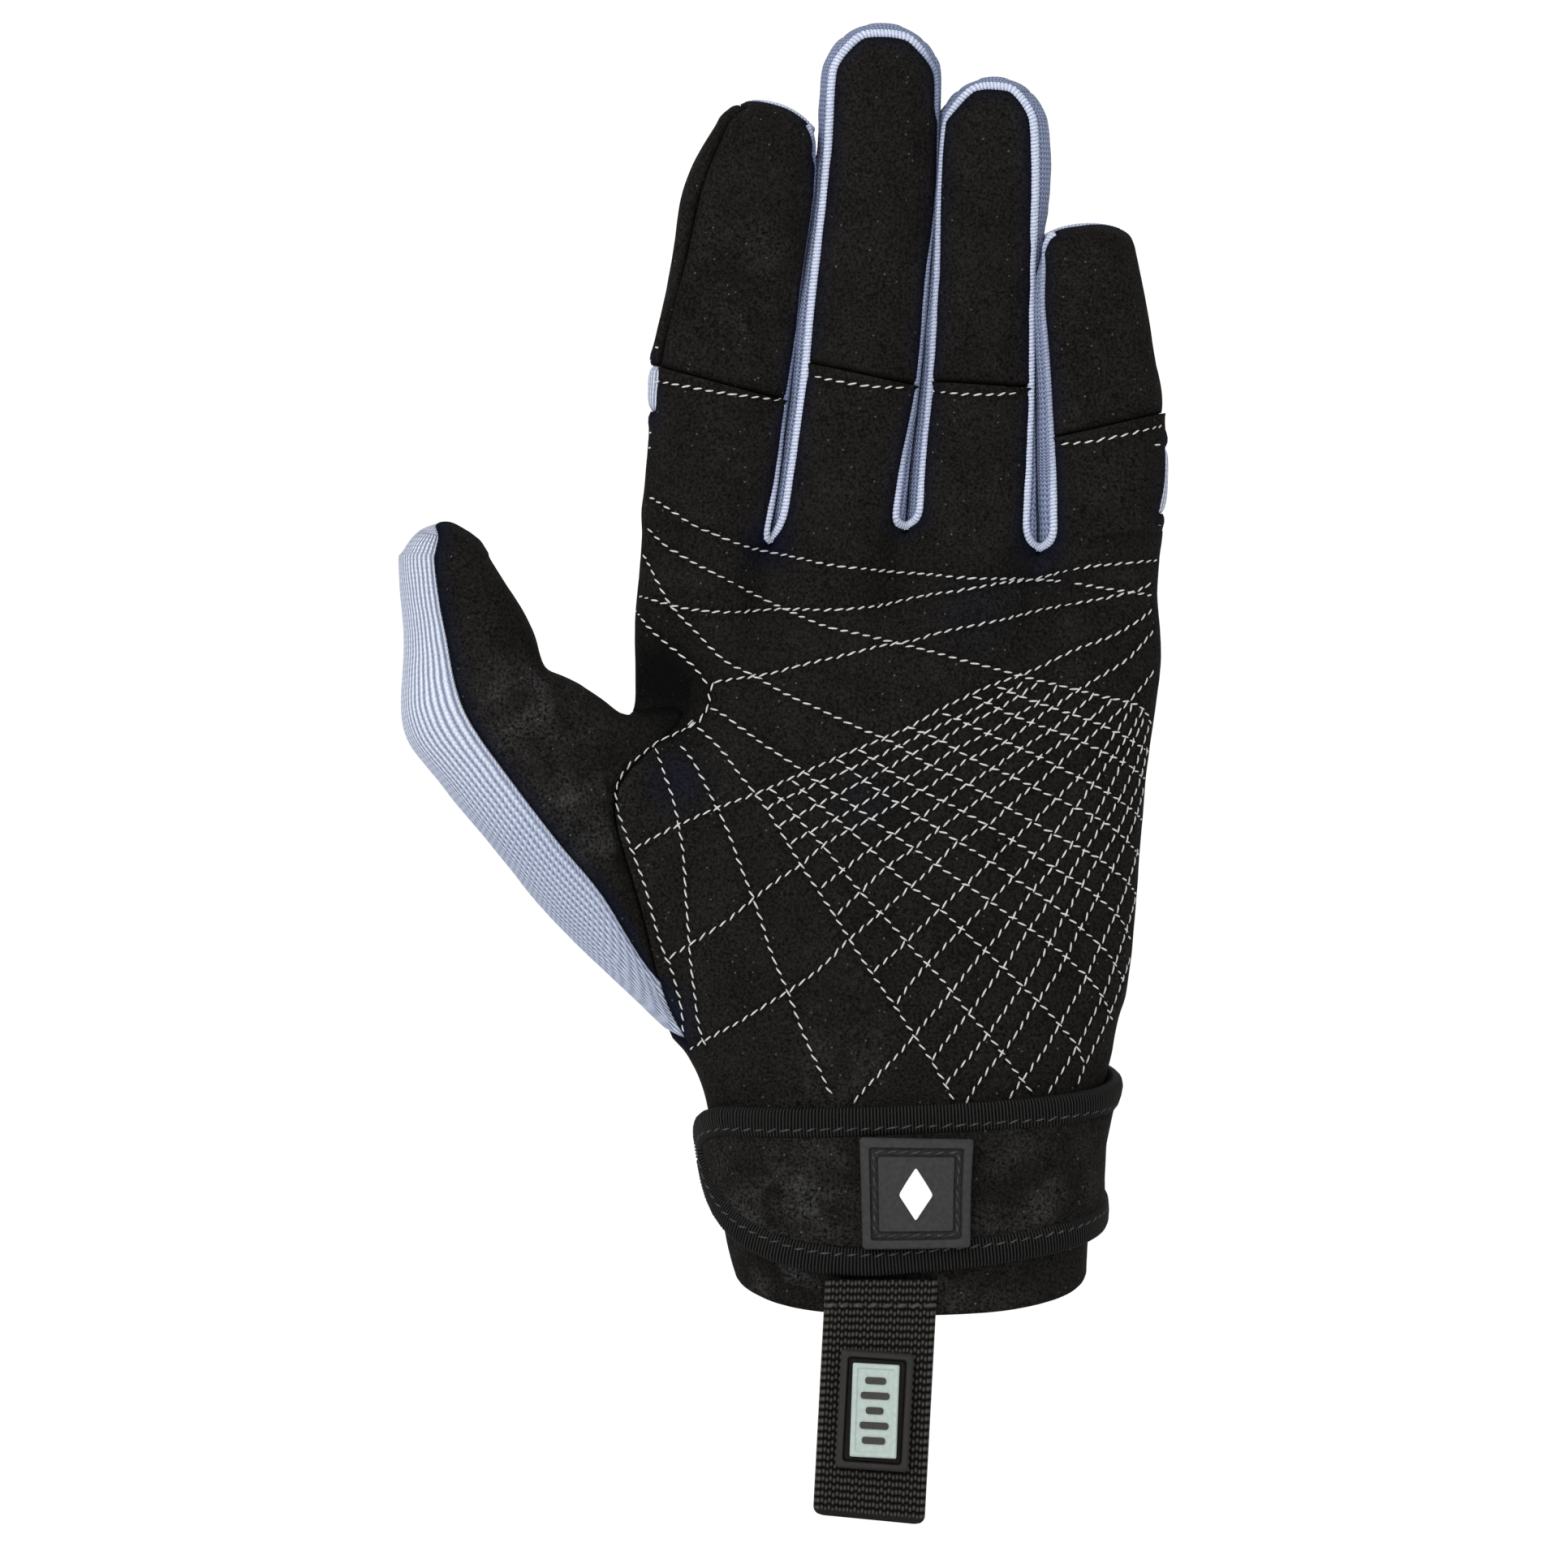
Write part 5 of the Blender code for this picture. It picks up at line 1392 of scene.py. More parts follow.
def add_panel(shell, panel, heights, tints, used, finish, lining):
    """One panel of cloth with its wall: outer face, inner face and the rim between them."""
    name = shell.names[panel]
    own = shell.panels == panel
    quads, flats = np.searchsorted(used, shell.quads[own]), shell.flats[own]
    base, normals = shell.points[used], shell.normals[used]
    outer = base + normals * heights[:, None]
    wall = KNIT_WALL if name in KNIT_PANELS else SUEDE_WALL
    inner = base - normals * wall
    ends = np.roll(quads, -1, axis=1).ravel().tolist()
    edges = dict.fromkeys(zip(quads.ravel().tolist(), ends))
    border = [(a, b) for a, b in edges if (b, a) not in edges]
    rim_points = np.array(sorted({a for a, _ in border}))
    shift = rim_directions(base, quads, rim_points) * SEAM_GAP / 2
    outer[rim_points] += shift
    inner[rim_points] += shift
    outer = press_fingers(outer, shell.point_limbs[used])
    count = len(used)
    corners = [tuple(q) for q in quads.tolist()]
    inside = [tuple(i + count for i in reversed(q)) for q in corners]
    rim = [(b, a, a + count, b + count) for a, b in border]
    faces = corners + inside + rim
    obj = add_piece(f"{name}_cloth", finish, np.vstack([outer, inner]), faces, (name,))
    mesh = obj.data
    rim_flats = np.zeros((len(rim), 4, 2))
    everything = np.concatenate([flats, flats[:, ::-1], rim_flats]).astype(np.float32)
    mesh.uv_layers.new(name="flat").data.foreach_set("uv", everything.ravel())
    for tint, values in tints.items():
        add_shade(obj, np.concatenate([values, np.zeros(count)]), tint)
    mesh.materials.append(lining)
    lined = [0] * len(corners) + [1] * len(inside) + [0] * len(rim)
    mesh.polygons.foreach_set("material_index", lined)


def add_shell(finishes):
    """All the panels. Returns the shell, a tree of its outside, and its seams."""
    shell = Shell(glove_cage())
    shell.points = press_fingers(shell.points, shell.point_limbs)
    shell.find_normals()
    edges = seam_edges(shell)
    trees = seam_trees(shell, edges)
    plain = shell.tree()
    lines = [on_surface(plain, line) for line in (*NET_LINES, *SEAM_LINES)]
    stitches = point_tree([place for line in lines for place in line[:, :3]])
    top = np.full(len(shell.points), -1.0)
    for panel, name in enumerate(shell.names):
        used = np.unique(shell.quads[shell.panels == panel])
        heights, navy, groove = raised(shell, panel, used, trees, stitches)
        tints = panel_tints(shell, name, used, navy, groove)
        slot = "knit" if name in KNIT_PANELS else "suede"
        add_panel(shell, panel, heights, tints, used, finishes[slot], finishes["lining"])
        top[used] = np.maximum(top[used], heights)
    finished = shell.points + shell.normals * top[:, None]
    outside = BVHTree.FromPolygons(finished.tolist(), shell.quads.tolist())
    return shell, outside, edges


def tack_lines():
    """The thick bar tack at the top of the thumb hole, as stitches side by side."""
    (x, z), (across, up) = TACK_PLACE, TACK_STEP
    return [
        ((x + i * across, z + i * up), (x + i * across + TACK_RUN[0], z + i * up + TACK_RUN[1]))
        for i in range(TACK_COUNT)
    ]


def chains(pairs):
    """Joins edges into runs of points, from end to end."""
    beside = {}
    for a, b in pairs:
        beside.setdefault(a, []).append(b)
        beside.setdefault(b, []).append(a)
    runs = []
    ends = sorted(p for p, near in beside.items() if len(near) == 1)
    for start in ends:
        if start not in beside:
            continue
        run = [start]
        while run[-1] in beside:
            near = [p for p in beside.pop(run[-1]) if p in beside]
            if not near:
                break
            run.append(near[0])
        if len(run) >= PIPING_SHORTEST:
            runs.append(run)
    return runs


def unit(vectors):
    return vectors / np.maximum(np.linalg.norm(vectors, axis=1, keepdims=True), TINY)


def line_directions(places, away):
    """Across a line of places and out of the cloth, from where the line goes and a rough way out."""
    along = np.gradient(places, axis=0)
    sideways = unit(np.cross(along, away))
    return sideways, unit(np.cross(sideways, along))


def tube_rings(samples, radii, sides, rib, rib_height):
    """Rings of a ribbed cord round a line of samples, each a place and the way out of the cloth, and
    how near each point is to the top of a rib."""
    places = samples[:, :3]
    sideways, outward = line_directions(places, samples[:, 3:6])
    walked = np.arange(len(samples)) * rib / RIB_SAMPLES
    rows, ridges = [], []
    for side in range(sides):
        turn = 2 * math.pi * side / sides
        ridge = np.cos(2 * math.pi * walked / rib + turn)
        reach = (radii * (1 + rib_height * ridge))[:, None]
        rows.append(places + (sideways * math.cos(turn) + outward * math.sin(turn)) * reach)
        ridges.append(ridge / 2 + 0.5)
    return np.stack(rows, axis=1).reshape(-1, 3), np.stack(ridges, axis=1).ravel()


def smoothed(points, rounds):
    """A line's points pulled towards the middle of their neighbours, with its ends kept."""
    for _ in range(rounds):
        inner = (points[:-2] + 2 * points[1:-1] + points[2:]) / 4
        points = np.vstack([points[:1], inner, points[-1:]])
    return points


def is_piped(shell, start, end, one, other):
    """Whether the seam between two panels has piping there: round the finger pads, palm side only."""
    suede, knit = sorted((shell.names[one], shell.names[other]), key=KNIT_PANELS.__contains__)
    if suede in KNIT_PANELS or knit not in KNIT_PANELS:
        return False
    piped = suede.endswith("_pad") or (suede == "palm_panel" and knit.startswith("fourchette"))
    return piped and (shell.normals[start][1] + shell.normals[end][1]) / 2 < PIPING_FACING


def suede_side(shell):
    """For each point, the way along the surface towards the suede beside it."""
    knit = [shell.names.index(name) for name in KNIT_PANELS]
    quads = shell.quads[~np.isin(shell.panels, knit)]
    return rim_directions(shell.points, quads, np.arange(len(shell.points)))


def pipe_share(shell, i):
    """How thick the piping is at a point, and how far it is painted pale as lit, from 0 to 1."""
    limb, (x, _, z) = shell.point_limbs[i], shell.normals[i]
    if limb < 1 or limb > len(FINGERS):
        return 1.0
    finger = FINGERS[limb - 1]
    side = lerp(finger.pipe_left, finger.pipe_right, smooth(x + 0.5))
    near_crotch = smooth(1 - (shell.points[i][2] - PALM_HEIGHT) / PIPE_ROOT)
    half = smooth(0.5 + PIPE_HALF * finger.pipe_lean * x)
    tip = smooth((z - PIPE_TIP_FROM) / PIPE_TIP_FADE) * lerp(1, half, abs(finger.pipe_lean))
    return lerp(side, 1, max(near_crotch, tip))


def add_piping(shell, edges, finish):
    """The knit's rolled edge along the seams of the finger pads, just outside the suede."""
    pairs = [edge[:2] for edge in edges if is_piped(shell, *edge)]
    inward = suede_side(shell)
    points, faces, shares, ridges = [], [], [], []
    for run in chains(pairs):
        share = np.array([[pipe_share(shell, i)] for i in run])
        line = np.hstack([shell.points[run], shell.normals[run], inward[run], share])
        samples = even_steps(smoothed(line, PIPING_ROUNDS), PIPING_RIB / RIB_SAMPLES)
        share = samples[:, 9]
        steps = np.arange(len(samples))
        from_end = np.minimum(steps, steps[::-1]) * PIPING_RIB / RIB_SAMPLES
        taper = np.sqrt(np.clip(from_end / PIPING_TAPER, PIPING_TIP, 1))
        radii = PIPING_RADIUS * (PIPING_THIN + (1 - PIPING_THIN) * share) * taper
        samples[:, :3] -= samples[:, 6:9] * (PIPING_SHIFT * radii)[:, None]
        faces += loft_faces(len(samples), PIPING_SIDES, sum(len(p) for p in points))
        rings, ridge = tube_rings(samples, radii, PIPING_SIDES, PIPING_RIB, PIPING_RIB_HEIGHT)
        points.append(rings)
        shares.append(np.repeat(share, PIPING_SIDES))
        ridges.append(ridge)
    obj = add_closed("pad_piping", finish, np.concatenate(points), faces)
    # pale is painted light on the piping, and shade is painted shade between its ribs
    add_shade(obj, np.concatenate(shares), "pale")
    add_shade(obj, np.concatenate(ridges))


def add_closed(name, finish, points, faces, replaced=()):
    """A piece of closed solids, each with its faces turned outwards."""
    obj = add_piece(name, finish, points, faces, replaced)
    shape = bmesh.new()
    shape.from_mesh(obj.data)
    bmesh.ops.recalc_face_normals(shape, faces=shape.faces)
    shape.to_mesh(obj.data)
    shape.free()
    return obj


def stitch_points(middle, step, outward, number, size):
    """One stitch across a step of its line: a short cord that rises out of the cloth and goes back
    into it. number varies it a little."""
    turn, stretch, shift = (
        amount * math.sin(number * STITCH_VARIETY_TURN * order)
        for order, amount in enumerate(STITCH_VARIETY, 1)
    )
    length = np.linalg.norm(step)
    along = step / length
    tilt = math.radians(STITCH_TILT + turn)
    sideways = np.cross(outward, along)
    along = along * math.cos(tilt) + sideways * math.sin(tilt)
    sideways = np.cross(outward, along)
    middle = middle + sideways * shift * MM
    half = length * STITCH_SHARE * (1 + stretch) / 2
    rings = []
    for share in STITCH_SHARES:
        radius = STITCH_RADIUS * size * (1 - share**4 * STITCH_TAPER)
        height = STITCH_RADIUS * size * (STITCH_RISE - STITCH_DIP * share * share)
        centre = middle + along * share * half + outward * height
        for side in range(STITCH_SIDES):
            angle = 2 * math.pi * side / STITCH_SIDES
            reach = radius * (1 + STITCH_PLY * math.cos(2 * angle + STITCH_TWIST * share))
            rings.append(centre + (sideways * math.cos(angle) + outward * math.sin(angle)) * reach)
    return rings


def add_stitches(name, rows, finish, size=1.0):
    """A stitch for each step between a row's stops, which are places and the way out there."""
    points, faces = [], []
    for stops in rows:
        for number, (here, after) in enumerate(zip(stops, stops[1:])):
            middle, step = (here + after) / 2, after[:3] - here[:3]
            outward = middle[3:6] / np.linalg.norm(middle[3:6])
            faces += loft_faces(len(STITCH_SHARES), STITCH_SIDES, len(points))
            points += stitch_points(middle[:3], step, outward, number, size)
    add_closed(name, finish, points, faces)


def stitch_rows(outside, lines):
    """The stops of stitch lines on the suede."""
    paths = [on_surface(outside, line) for line in lines]
    return [even_steps(smoothed(path, PATH_ROUNDS), STITCH_PITCH) for path in paths if len(path) > 1]


def strap_surface(angle, across):
    """A point of the strap's inner face: round the wrist, and across the strap's width."""
    share = across / STRAP_WIDTH + 0.5
    slope, tilt = lerp(*STRAP_SLOPES, share), lerp(*STRAP_TILTS, share)
    height = STRAP_HEIGHT + across
    for _ in range(REFINEMENTS):
        found = body_point(level_at(height), angle, STRAP_CLEARANCE)
        target = STRAP_HEIGHT + across + slope * found.x + tilt * (found.y - WRIST_LEAN / 2)
        height += target - found.z
    return found


def strap_away(angle, across):
    """The way out of the strap at a point of it."""
    around = strap_surface(angle + STRAP_TURN, across) - strap_surface(angle - STRAP_TURN, across)
    upward = strap_surface(angle, across + MM) - strap_surface(angle, across - MM)
    return around.cross(upward).normalized()


def strap_point(angle, across, out):
    """A point of the strap, out from its inner face."""
    return strap_surface(angle, across) + strap_away(angle, across) * out


def strap_reach(angle):
    """How far a place on the strap is from its free end."""
    return (strap_surface(angle, 0) - strap_surface(STRAP_FREE_END, 0)).length


def strap_angle(reach):
    """The angle at which the strap is that far from its free end."""
    low, high = STRAP_FREE_END, STRAP_FREE_END + STRAP_END_TURN
    for _ in range(HALVINGS):
        middle = (low + high) / 2
        low, high = (middle, high) if strap_reach(middle) < reach else (low, middle)
    return middle


def strap_outline(reach, side):
    """How far up the strap's width its edge is, at a distance from its free end. side is 1 or -1."""
    rounding = STRAP_UPPER_ROUNDING if side > 0 else STRAP_LOWER_ROUNDING
    left = min(1, max(0, 1 - reach / rounding))
    grown = (1 - left**STRAP_END_POWER) ** (1 / STRAP_END_POWER)
    return lerp(STRAP_TIP_RISE, side * STRAP_WIDTH / 2, grown)


def strap_edge(angle, inset, side):
    """How far up the strap's width a line is that keeps an inset from its edge."""
    reach = strap_reach(angle)
    edge = strap_outline(reach, side)
    slope = (strap_outline(reach + MM, side) - edge) / MM
    inner = edge - side * inset * math.hypot(1, slope)
    return side * max(side * inner, side * STRAP_TIP_RISE)


def strap_rows(inset):
    """Angles round the strap from its free end, closer together where the end is rounded."""
    close = [strap_angle(lerp(inset, STRAP_UPPER_ROUNDING, share)) for share in STRAP_END_SHARES]
    steps = range(1, STRAP_STEPS + 1)
    return close + [lerp(close[-1], STRAP_SEWN_END, step / STRAP_STEPS) for step in steps]


def add_strap(finish):
    """The strap's suede, inside its binding, as a closed band with a wall."""
    inset = BINDING_WIDTH - BINDING_LAP
    shares = [column / STRAP_COLUMNS for column in range(STRAP_COLUMNS + 1)]
    rows = []
    for angle in strap_rows(inset):
        lower, upper = strap_edge(angle, inset, -1), strap_edge(angle, inset, 1)
        if upper - lower > BINDING_LAP:
            places = [lerp(lower, upper, share) for share in shares]
            back = [strap_point(angle, across, 0) for across in places]
            front = []
            for across in reversed(places):
                place = strap_point(angle, across, STRAP_THICKNESS)
                swell = LUMP_HEIGHT * lump(place, STRAP_LUMPS)
                front.append(place + strap_away(angle, across) * swell)
            rows.append(back + front)
    faces = loft_faces(len(rows), len(rows[0]))
    points = [point for row in rows for point in row]
    obj = add_closed("wrist_strap_suede", finish, points, faces, ("wrist_strap",))
    add_shade(obj, spots(np.array(points), DUST_SPOTS), "dust")


def binding_route():
    """The middle of the strap's binding: rows of a place and the way out of the strap."""
    inset = BINDING_WIDTH / 2
    angles = strap_rows(inset)
    route = [(a, strap_edge(a, inset, -1)) for a in reversed(angles)]
    route += [(a, strap_edge(a, inset, 1)) for a in angles]
    rows = np.array([(*strap_point(*at, STRAP_THICKNESS / 2), *strap_away(*at)) for at in route])
    keep = np.ones(len(rows), bool)
    keep[1:] = np.linalg.norm(np.diff(rows[:, :3], axis=0), axis=1) > BINDING_RIB / RIB_SAMPLES
    return rows[keep]


def add_binding(finish, thread):
    """Elastic tape folded over the strap's edge, all round its free end, with its cross ribs."""
    route = binding_route()
    samples = even_steps(route, BINDING_RIB / RIB_SAMPLES)
    places = samples[:, :3]
    sideways, away = line_directions(smoothed(places, BINDING_ROUNDS), samples[:, 3:])
    walked = np.arange(len(samples)) * BINDING_RIB / RIB_SAMPLES
    ridge = 1 + BINDING_RIB_HEIGHT * np.cos(2 * math.pi * walked / BINDING_RIB)
    rings = []
    for side in range(BINDING_SIDES):
        turn = 2 * math.pi * (side + 0.5) / BINDING_SIDES
        across = BINDING_WIDTH / 2 * signed_power(math.cos(turn), BINDING_SQUARENESS)
        out = BINDING_THICKNESS / 2 * signed_power(math.sin(turn), BINDING_SQUARENESS)
        rings.append(places + sideways * across + away * (out * ridge)[:, None])
    points = np.stack(rings, axis=1).reshape(-1, 3)
    faces = loft_faces(len(samples), BINDING_SIDES)
    tape = add_closed("strap_edge_tape", finish, points, faces, ("strap_binding",))
    # Painted shade in the grooves between the tape's ribs
    add_shade(tape, np.repeat((ridge - 1) / BINDING_RIB_HEIGHT / 2 + 0.5, BINDING_SIDES))
    inside = sideways * BINDING_WIDTH * BINDING_STITCH_SHARE
    stops = np.hstack([places + inside + away * BINDING_THICKNESS * BINDING_STITCH_RISE, away])
    add_stitches("strap_edge_stitches", [even_steps(stops, BINDING_STITCH)], thread)


def on_strap(x, up, out):
    """The place on the strap's front of a flat pattern's point: x across, up, and out from it."""
    angle = body_angle(level_at(STRAP_HEIGHT), x, STRAP_CLEARANCE + STRAP_THICKNESS)
    return strap_point(angle, up, STRAP_THICKNESS + out)


def moulded(name, finish, form, size, steps, place, replaced=()):
    """A moulded piece from a flat form, "plate" or "diamond". steps are insets and rises from its
    edge inwards, and place puts each flat point, with its height, on what carries the piece."""
    bpy.ops.object.select_all(action="DESELECT")
    if form == "plate":
        bpy.ops.mesh.primitive_plane_add(size=1)
    else:
        bpy.ops.mesh.primitive_circle_add(vertices=4, radius=0.5, fill_type="NGON")
    obj = bpy.context.object
    obj.name = obj.data.name = name
    bpy.ops.object.mode_set(mode="EDIT")
    bpy.ops.mesh.select_all(action="SELECT")
    bpy.ops.transform.resize(value=(size[0], size[1], 1))
    bpy.ops.mesh.bevel(offset=size[2], segments=CORNER_SEGMENTS, affect="VERTICES")
    bpy.ops.mesh.select_all(action="SELECT")
    bpy.ops.mesh.extrude_region_move(TRANSFORM_OT_translate={"value": (0, 0, steps[0][1])})
    wide, high = size[:2]
    for inset, rise in steps[1:]:
        bpy.ops.mesh.extrude_region_move(TRANSFORM_OT_translate={"value": (0, 0, rise)})
        narrow, low = wide - 2 * inset, high - 2 * inset
        bpy.ops.transform.resize(value=(narrow / wide, low / high, 1))
        wide, high = narrow, low
    for width, direction in zip(size, (Vector((1, 0, 0)), Vector((0, 1, 0)))):
        for at in cut_places(width):
            bpy.ops.mesh.select_all(action="SELECT")
            bpy.ops.mesh.bisect(plane_co=direction * at, plane_no=direction)
    bpy.ops.mesh.select_all(action="SELECT")
    bpy.ops.mesh.normals_make_consistent(inside=False)
    bpy.ops.object.mode_set(mode="OBJECT")
    top = max(vert.co.z for vert in obj.data.vertices)
    # Lower points get a lower shade: painted shade in the piece's recesses, such as the patch's channel
    add_shade(obj, [vert.co.z / top for vert in obj.data.vertices])
    for vert in obj.data.vertices:
        vert.co = place(*vert.co)
    bpy.ops.object.shade_smooth_by_angle(angle=math.radians(MOULD_ANGLE))
    for modifier in list(obj.modifiers):
        bpy.ops.object.modifier_apply(modifier=modifier.name)
    return dress(obj, finish, replaced)


def cut_places(width):
    """Where a moulded piece is cut so that its faces can bend with what carries it."""
    count = math.ceil(width / MOULD_CUT)
    return [width * (i / count - 0.5) for i in range(1, count)]


def on_patch(x, up, out):
    """The place of the patch's flat point: x across, up, and out from the strap's binding."""
    across = PATCH_OFFSET + x
    base = (BINDING_THICKNESS - STRAP_THICKNESS) / 2 + SEAM_GAP
    return on_strap(across, PATCH_RISE + up - PATCH_SLOPE * across, base + out)


def add_size_patch(finishes):
    """A moulded square over the strap's binding: a raised rim, a sewn channel, a raised middle."""

    def place_mark(x, up, out):
        return on_patch(x, up, out + PATCH_THICKNESS - MARK_RELIEF / 2)

    deep = PATCH_THICKNESS * PATCH_DEPTH
    steps = (
        (0, PATCH_THICKNESS - PATCH_BEVEL), (PATCH_BEVEL, PATCH_BEVEL), (PATCH_RIM, 0),
        (PATCH_BEVEL, -deep), (PATCH_CHANNEL, 0), (PATCH_BEVEL, deep),
    )
    size = (PATCH_WIDTH, PATCH_HEIGHT, PATCH_CORNER)
    moulded("strap_patch", finishes["patch"], "plate", size, steps, on_patch, ("size_patch",))
    moulded(
        "strap_patch_mark", finishes["mark"], "diamond",
        (MARK_WIDTH, MARK_HEIGHT, MARK_CORNER),
        ((0, MARK_RELIEF), (MARK_RELIEF / 2, MARK_RELIEF / 2)), place_mark,
    )
    add_patch_stitches(finishes["grey_thread"], PATCH_THICKNESS - deep)


def add_patch_stitches(finish, floor):
    """Stitches round the patch in its channel, whose floor is that high."""
    channel = 2 * (PATCH_RIM + PATCH_BEVEL * 2) + PATCH_CHANNEL
    wide, high = (PATCH_WIDTH - channel) / 2, (PATCH_HEIGHT - channel) / 2
    corners = np.array([(-wide, -high), (wide, -high), (wide, high), (-wide, high), (-wide, -high)])
    rows = []
    for start, end in zip(corners, corners[1:]):
        stops = []
        for x, up in even_steps(np.array([start, end]), STITCH_PITCH):
            low, top = on_patch(x, up, floor), on_patch(x, up, PATCH_THICKNESS)
            stops.append(np.array((*low, *(top - low).normalized())))
        rows.append(stops)
    add_stitches("strap_patch_stitches", rows, finish, PATCH_STITCH_SIZE)


def hem_front():
    """The lowest point of the hem, on the palm side."""
    return body_point(PALM_LEVELS[0], 0)


def tab_top():
    """The height of the tab's upper end, just under the strap's binding."""
    side = TAB_OFFSET - TAB_WIDTH / 2
    edge = strap_point(body_angle(level_at(STRAP_HEIGHT), side), -STRAP_WIDTH / 2, 0)
    return edge.z - SEAM_GAP


def tab_back(x, z):
    """The tab's back: against the cuff down to the hem, and then straight down."""
    hem = PALM_LEVELS[0].height * PALM_HEIGHT
    height = hem
    for _ in range(REFINEMENTS):
        level = level_at(height)
        front = body_point(level, body_angle(level, x), SEAM_GAP)
        height = max(hem, height + z - front.z)
    return min(front.y, body_point(PALM_LEVELS[0], 0, SEAM_GAP).y)


def tab_depths():
    """Heights from the tab's lower end up, and how far back the tab is at each."""
    side = TAB_WIDTH / 2
    heights = np.linspace(hem_front().z - TAB_DROP - TAB_SLANT, tab_top() + TAB_SLANT, TAB_DEPTHS)
    places = (TAB_OFFSET - side, TAB_OFFSET + side, 0)
    return heights, np.array([min(tab_back(x, z) for x in places) for z in heights])


def tab_point(depths, x, z, out):
    """A point of the tab: across it, at a height, and out from its back."""
    sway = TAB_SWAY * (hem_front().z - z) / TAB_DROP
    return Vector((TAB_OFFSET + sway + x, float(np.interp(z, *depths)) - out, z))


def tab_outline():
    """Points round the tab's section: across as a share of half the width, out as a share of the
    thickness, which are both smooth round the two edges."""
    half = TAB_EDGE_COLUMNS + 1
    front = [(lerp(1, -1, i / TAB_FRONT_COLUMNS), 1) for i in range(TAB_FRONT_COLUMNS + 1)]
    back = [(lerp(-1, 1, i / TAB_BACK_COLUMNS), 0) for i in range(TAB_BACK_COLUMNS + 1)]
    edge = [math.pi * i / half for i in range(1, half)]
    bulge = TAB_EDGE_BULGE * TAB_THICKNESS / TAB_WIDTH
    left, right = (
        [(side * (1 + bulge * math.sin(turn)), (1 - side * math.cos(turn)) / 2) for turn in edge]
        for side in (-1, 1)
    )
    return front + left + back + right


def weave(x, drop):
    """The webbing's beads, from 0 between them to 1 on top, across it and down from its upper end."""
    column = x / WEAVE_BEAD
    row = drop / WEAVE_ROW + WEAVE_WANDER * math.sin(round(column) * WEAVE_WANDER_TURN)
    strand = abs(math.cos(math.pi * column)) ** STRAND_POWER
    return strand * abs(math.sin(math.pi * row)) ** BEAD_POWER


def tab_row(outline, depths, top, length, drop):
    """One ring of the tab's points, that far down from its top, and how near each is to a bead's."""
    left = length - drop
    round_off = max(0, 1 - left / TAB_CORNER)
    half = TAB_WIDTH / 2 - TAB_CORNER * (1 - math.sqrt(1 - round_off**2))
    half -= TAB_THICKNESS * TAB_EDGE_BULGE / 2
    thick = TAB_THICKNESS * lerp(1, TAB_END_THIN, round_off**2)
    slant = TAB_SLANT * drop / length / TAB_WIDTH
    points, shades = [], []
    for across, out in outline:
        x = across * half
        bead = weave(x, drop)
        rise = 0 if left < TAB_HEM else bead * WEAVE_RELIEF
        shades.append(TAB_HEM_SHADE if left < TAB_HEM else bead)
        relief = math.copysign(rise - WEAVE_RELIEF, out - 0.5)
        surface = TAB_THICKNESS / 2 + (out - 0.5) * thick + relief
        points.append(tab_point(depths, x, top - drop - x * slant, surface))
    return points, shades


def add_pull_tab(finish, depths):
    """The webbing loop: its woven front and back, and the plain folded hem at its lower end."""
    top = tab_top()
    length = top - hem_front().z + TAB_DROP
    count = round(length / TAB_ROW_STEP)
    outline = tab_outline()
    points, shades = [], []
    for number in range(count + 1):
        row, shade = tab_row(outline, depths, top, length, length * number / count)
        points += row
        shades += shade
    faces = loft_faces(count + 1, len(outline))
    tab = add_closed("pull_tab_webbing", finish, points, faces, ("pull_tab",))
    # Painted shade between the webbing's beads, lighter on their tops
    add_shade(tab, shades)


def add_tab_stitches(finish, depths):
    """The row that sews the tab to the cuff."""
    stops = []
    for i in range(TAB_STITCHES + 1):
        x = TAB_WIDTH * (i / TAB_STITCHES - 0.5)
        place = tab_point(depths, x, TAB_STITCH_HEIGHT, TAB_THICKNESS + WEAVE_RELIEF / 4)
        stops.append(np.array((*place, 0, -1, 0)))
    add_stitches("pull_tab_stitches", [stops], finish, TAB_STITCH_SIZE)


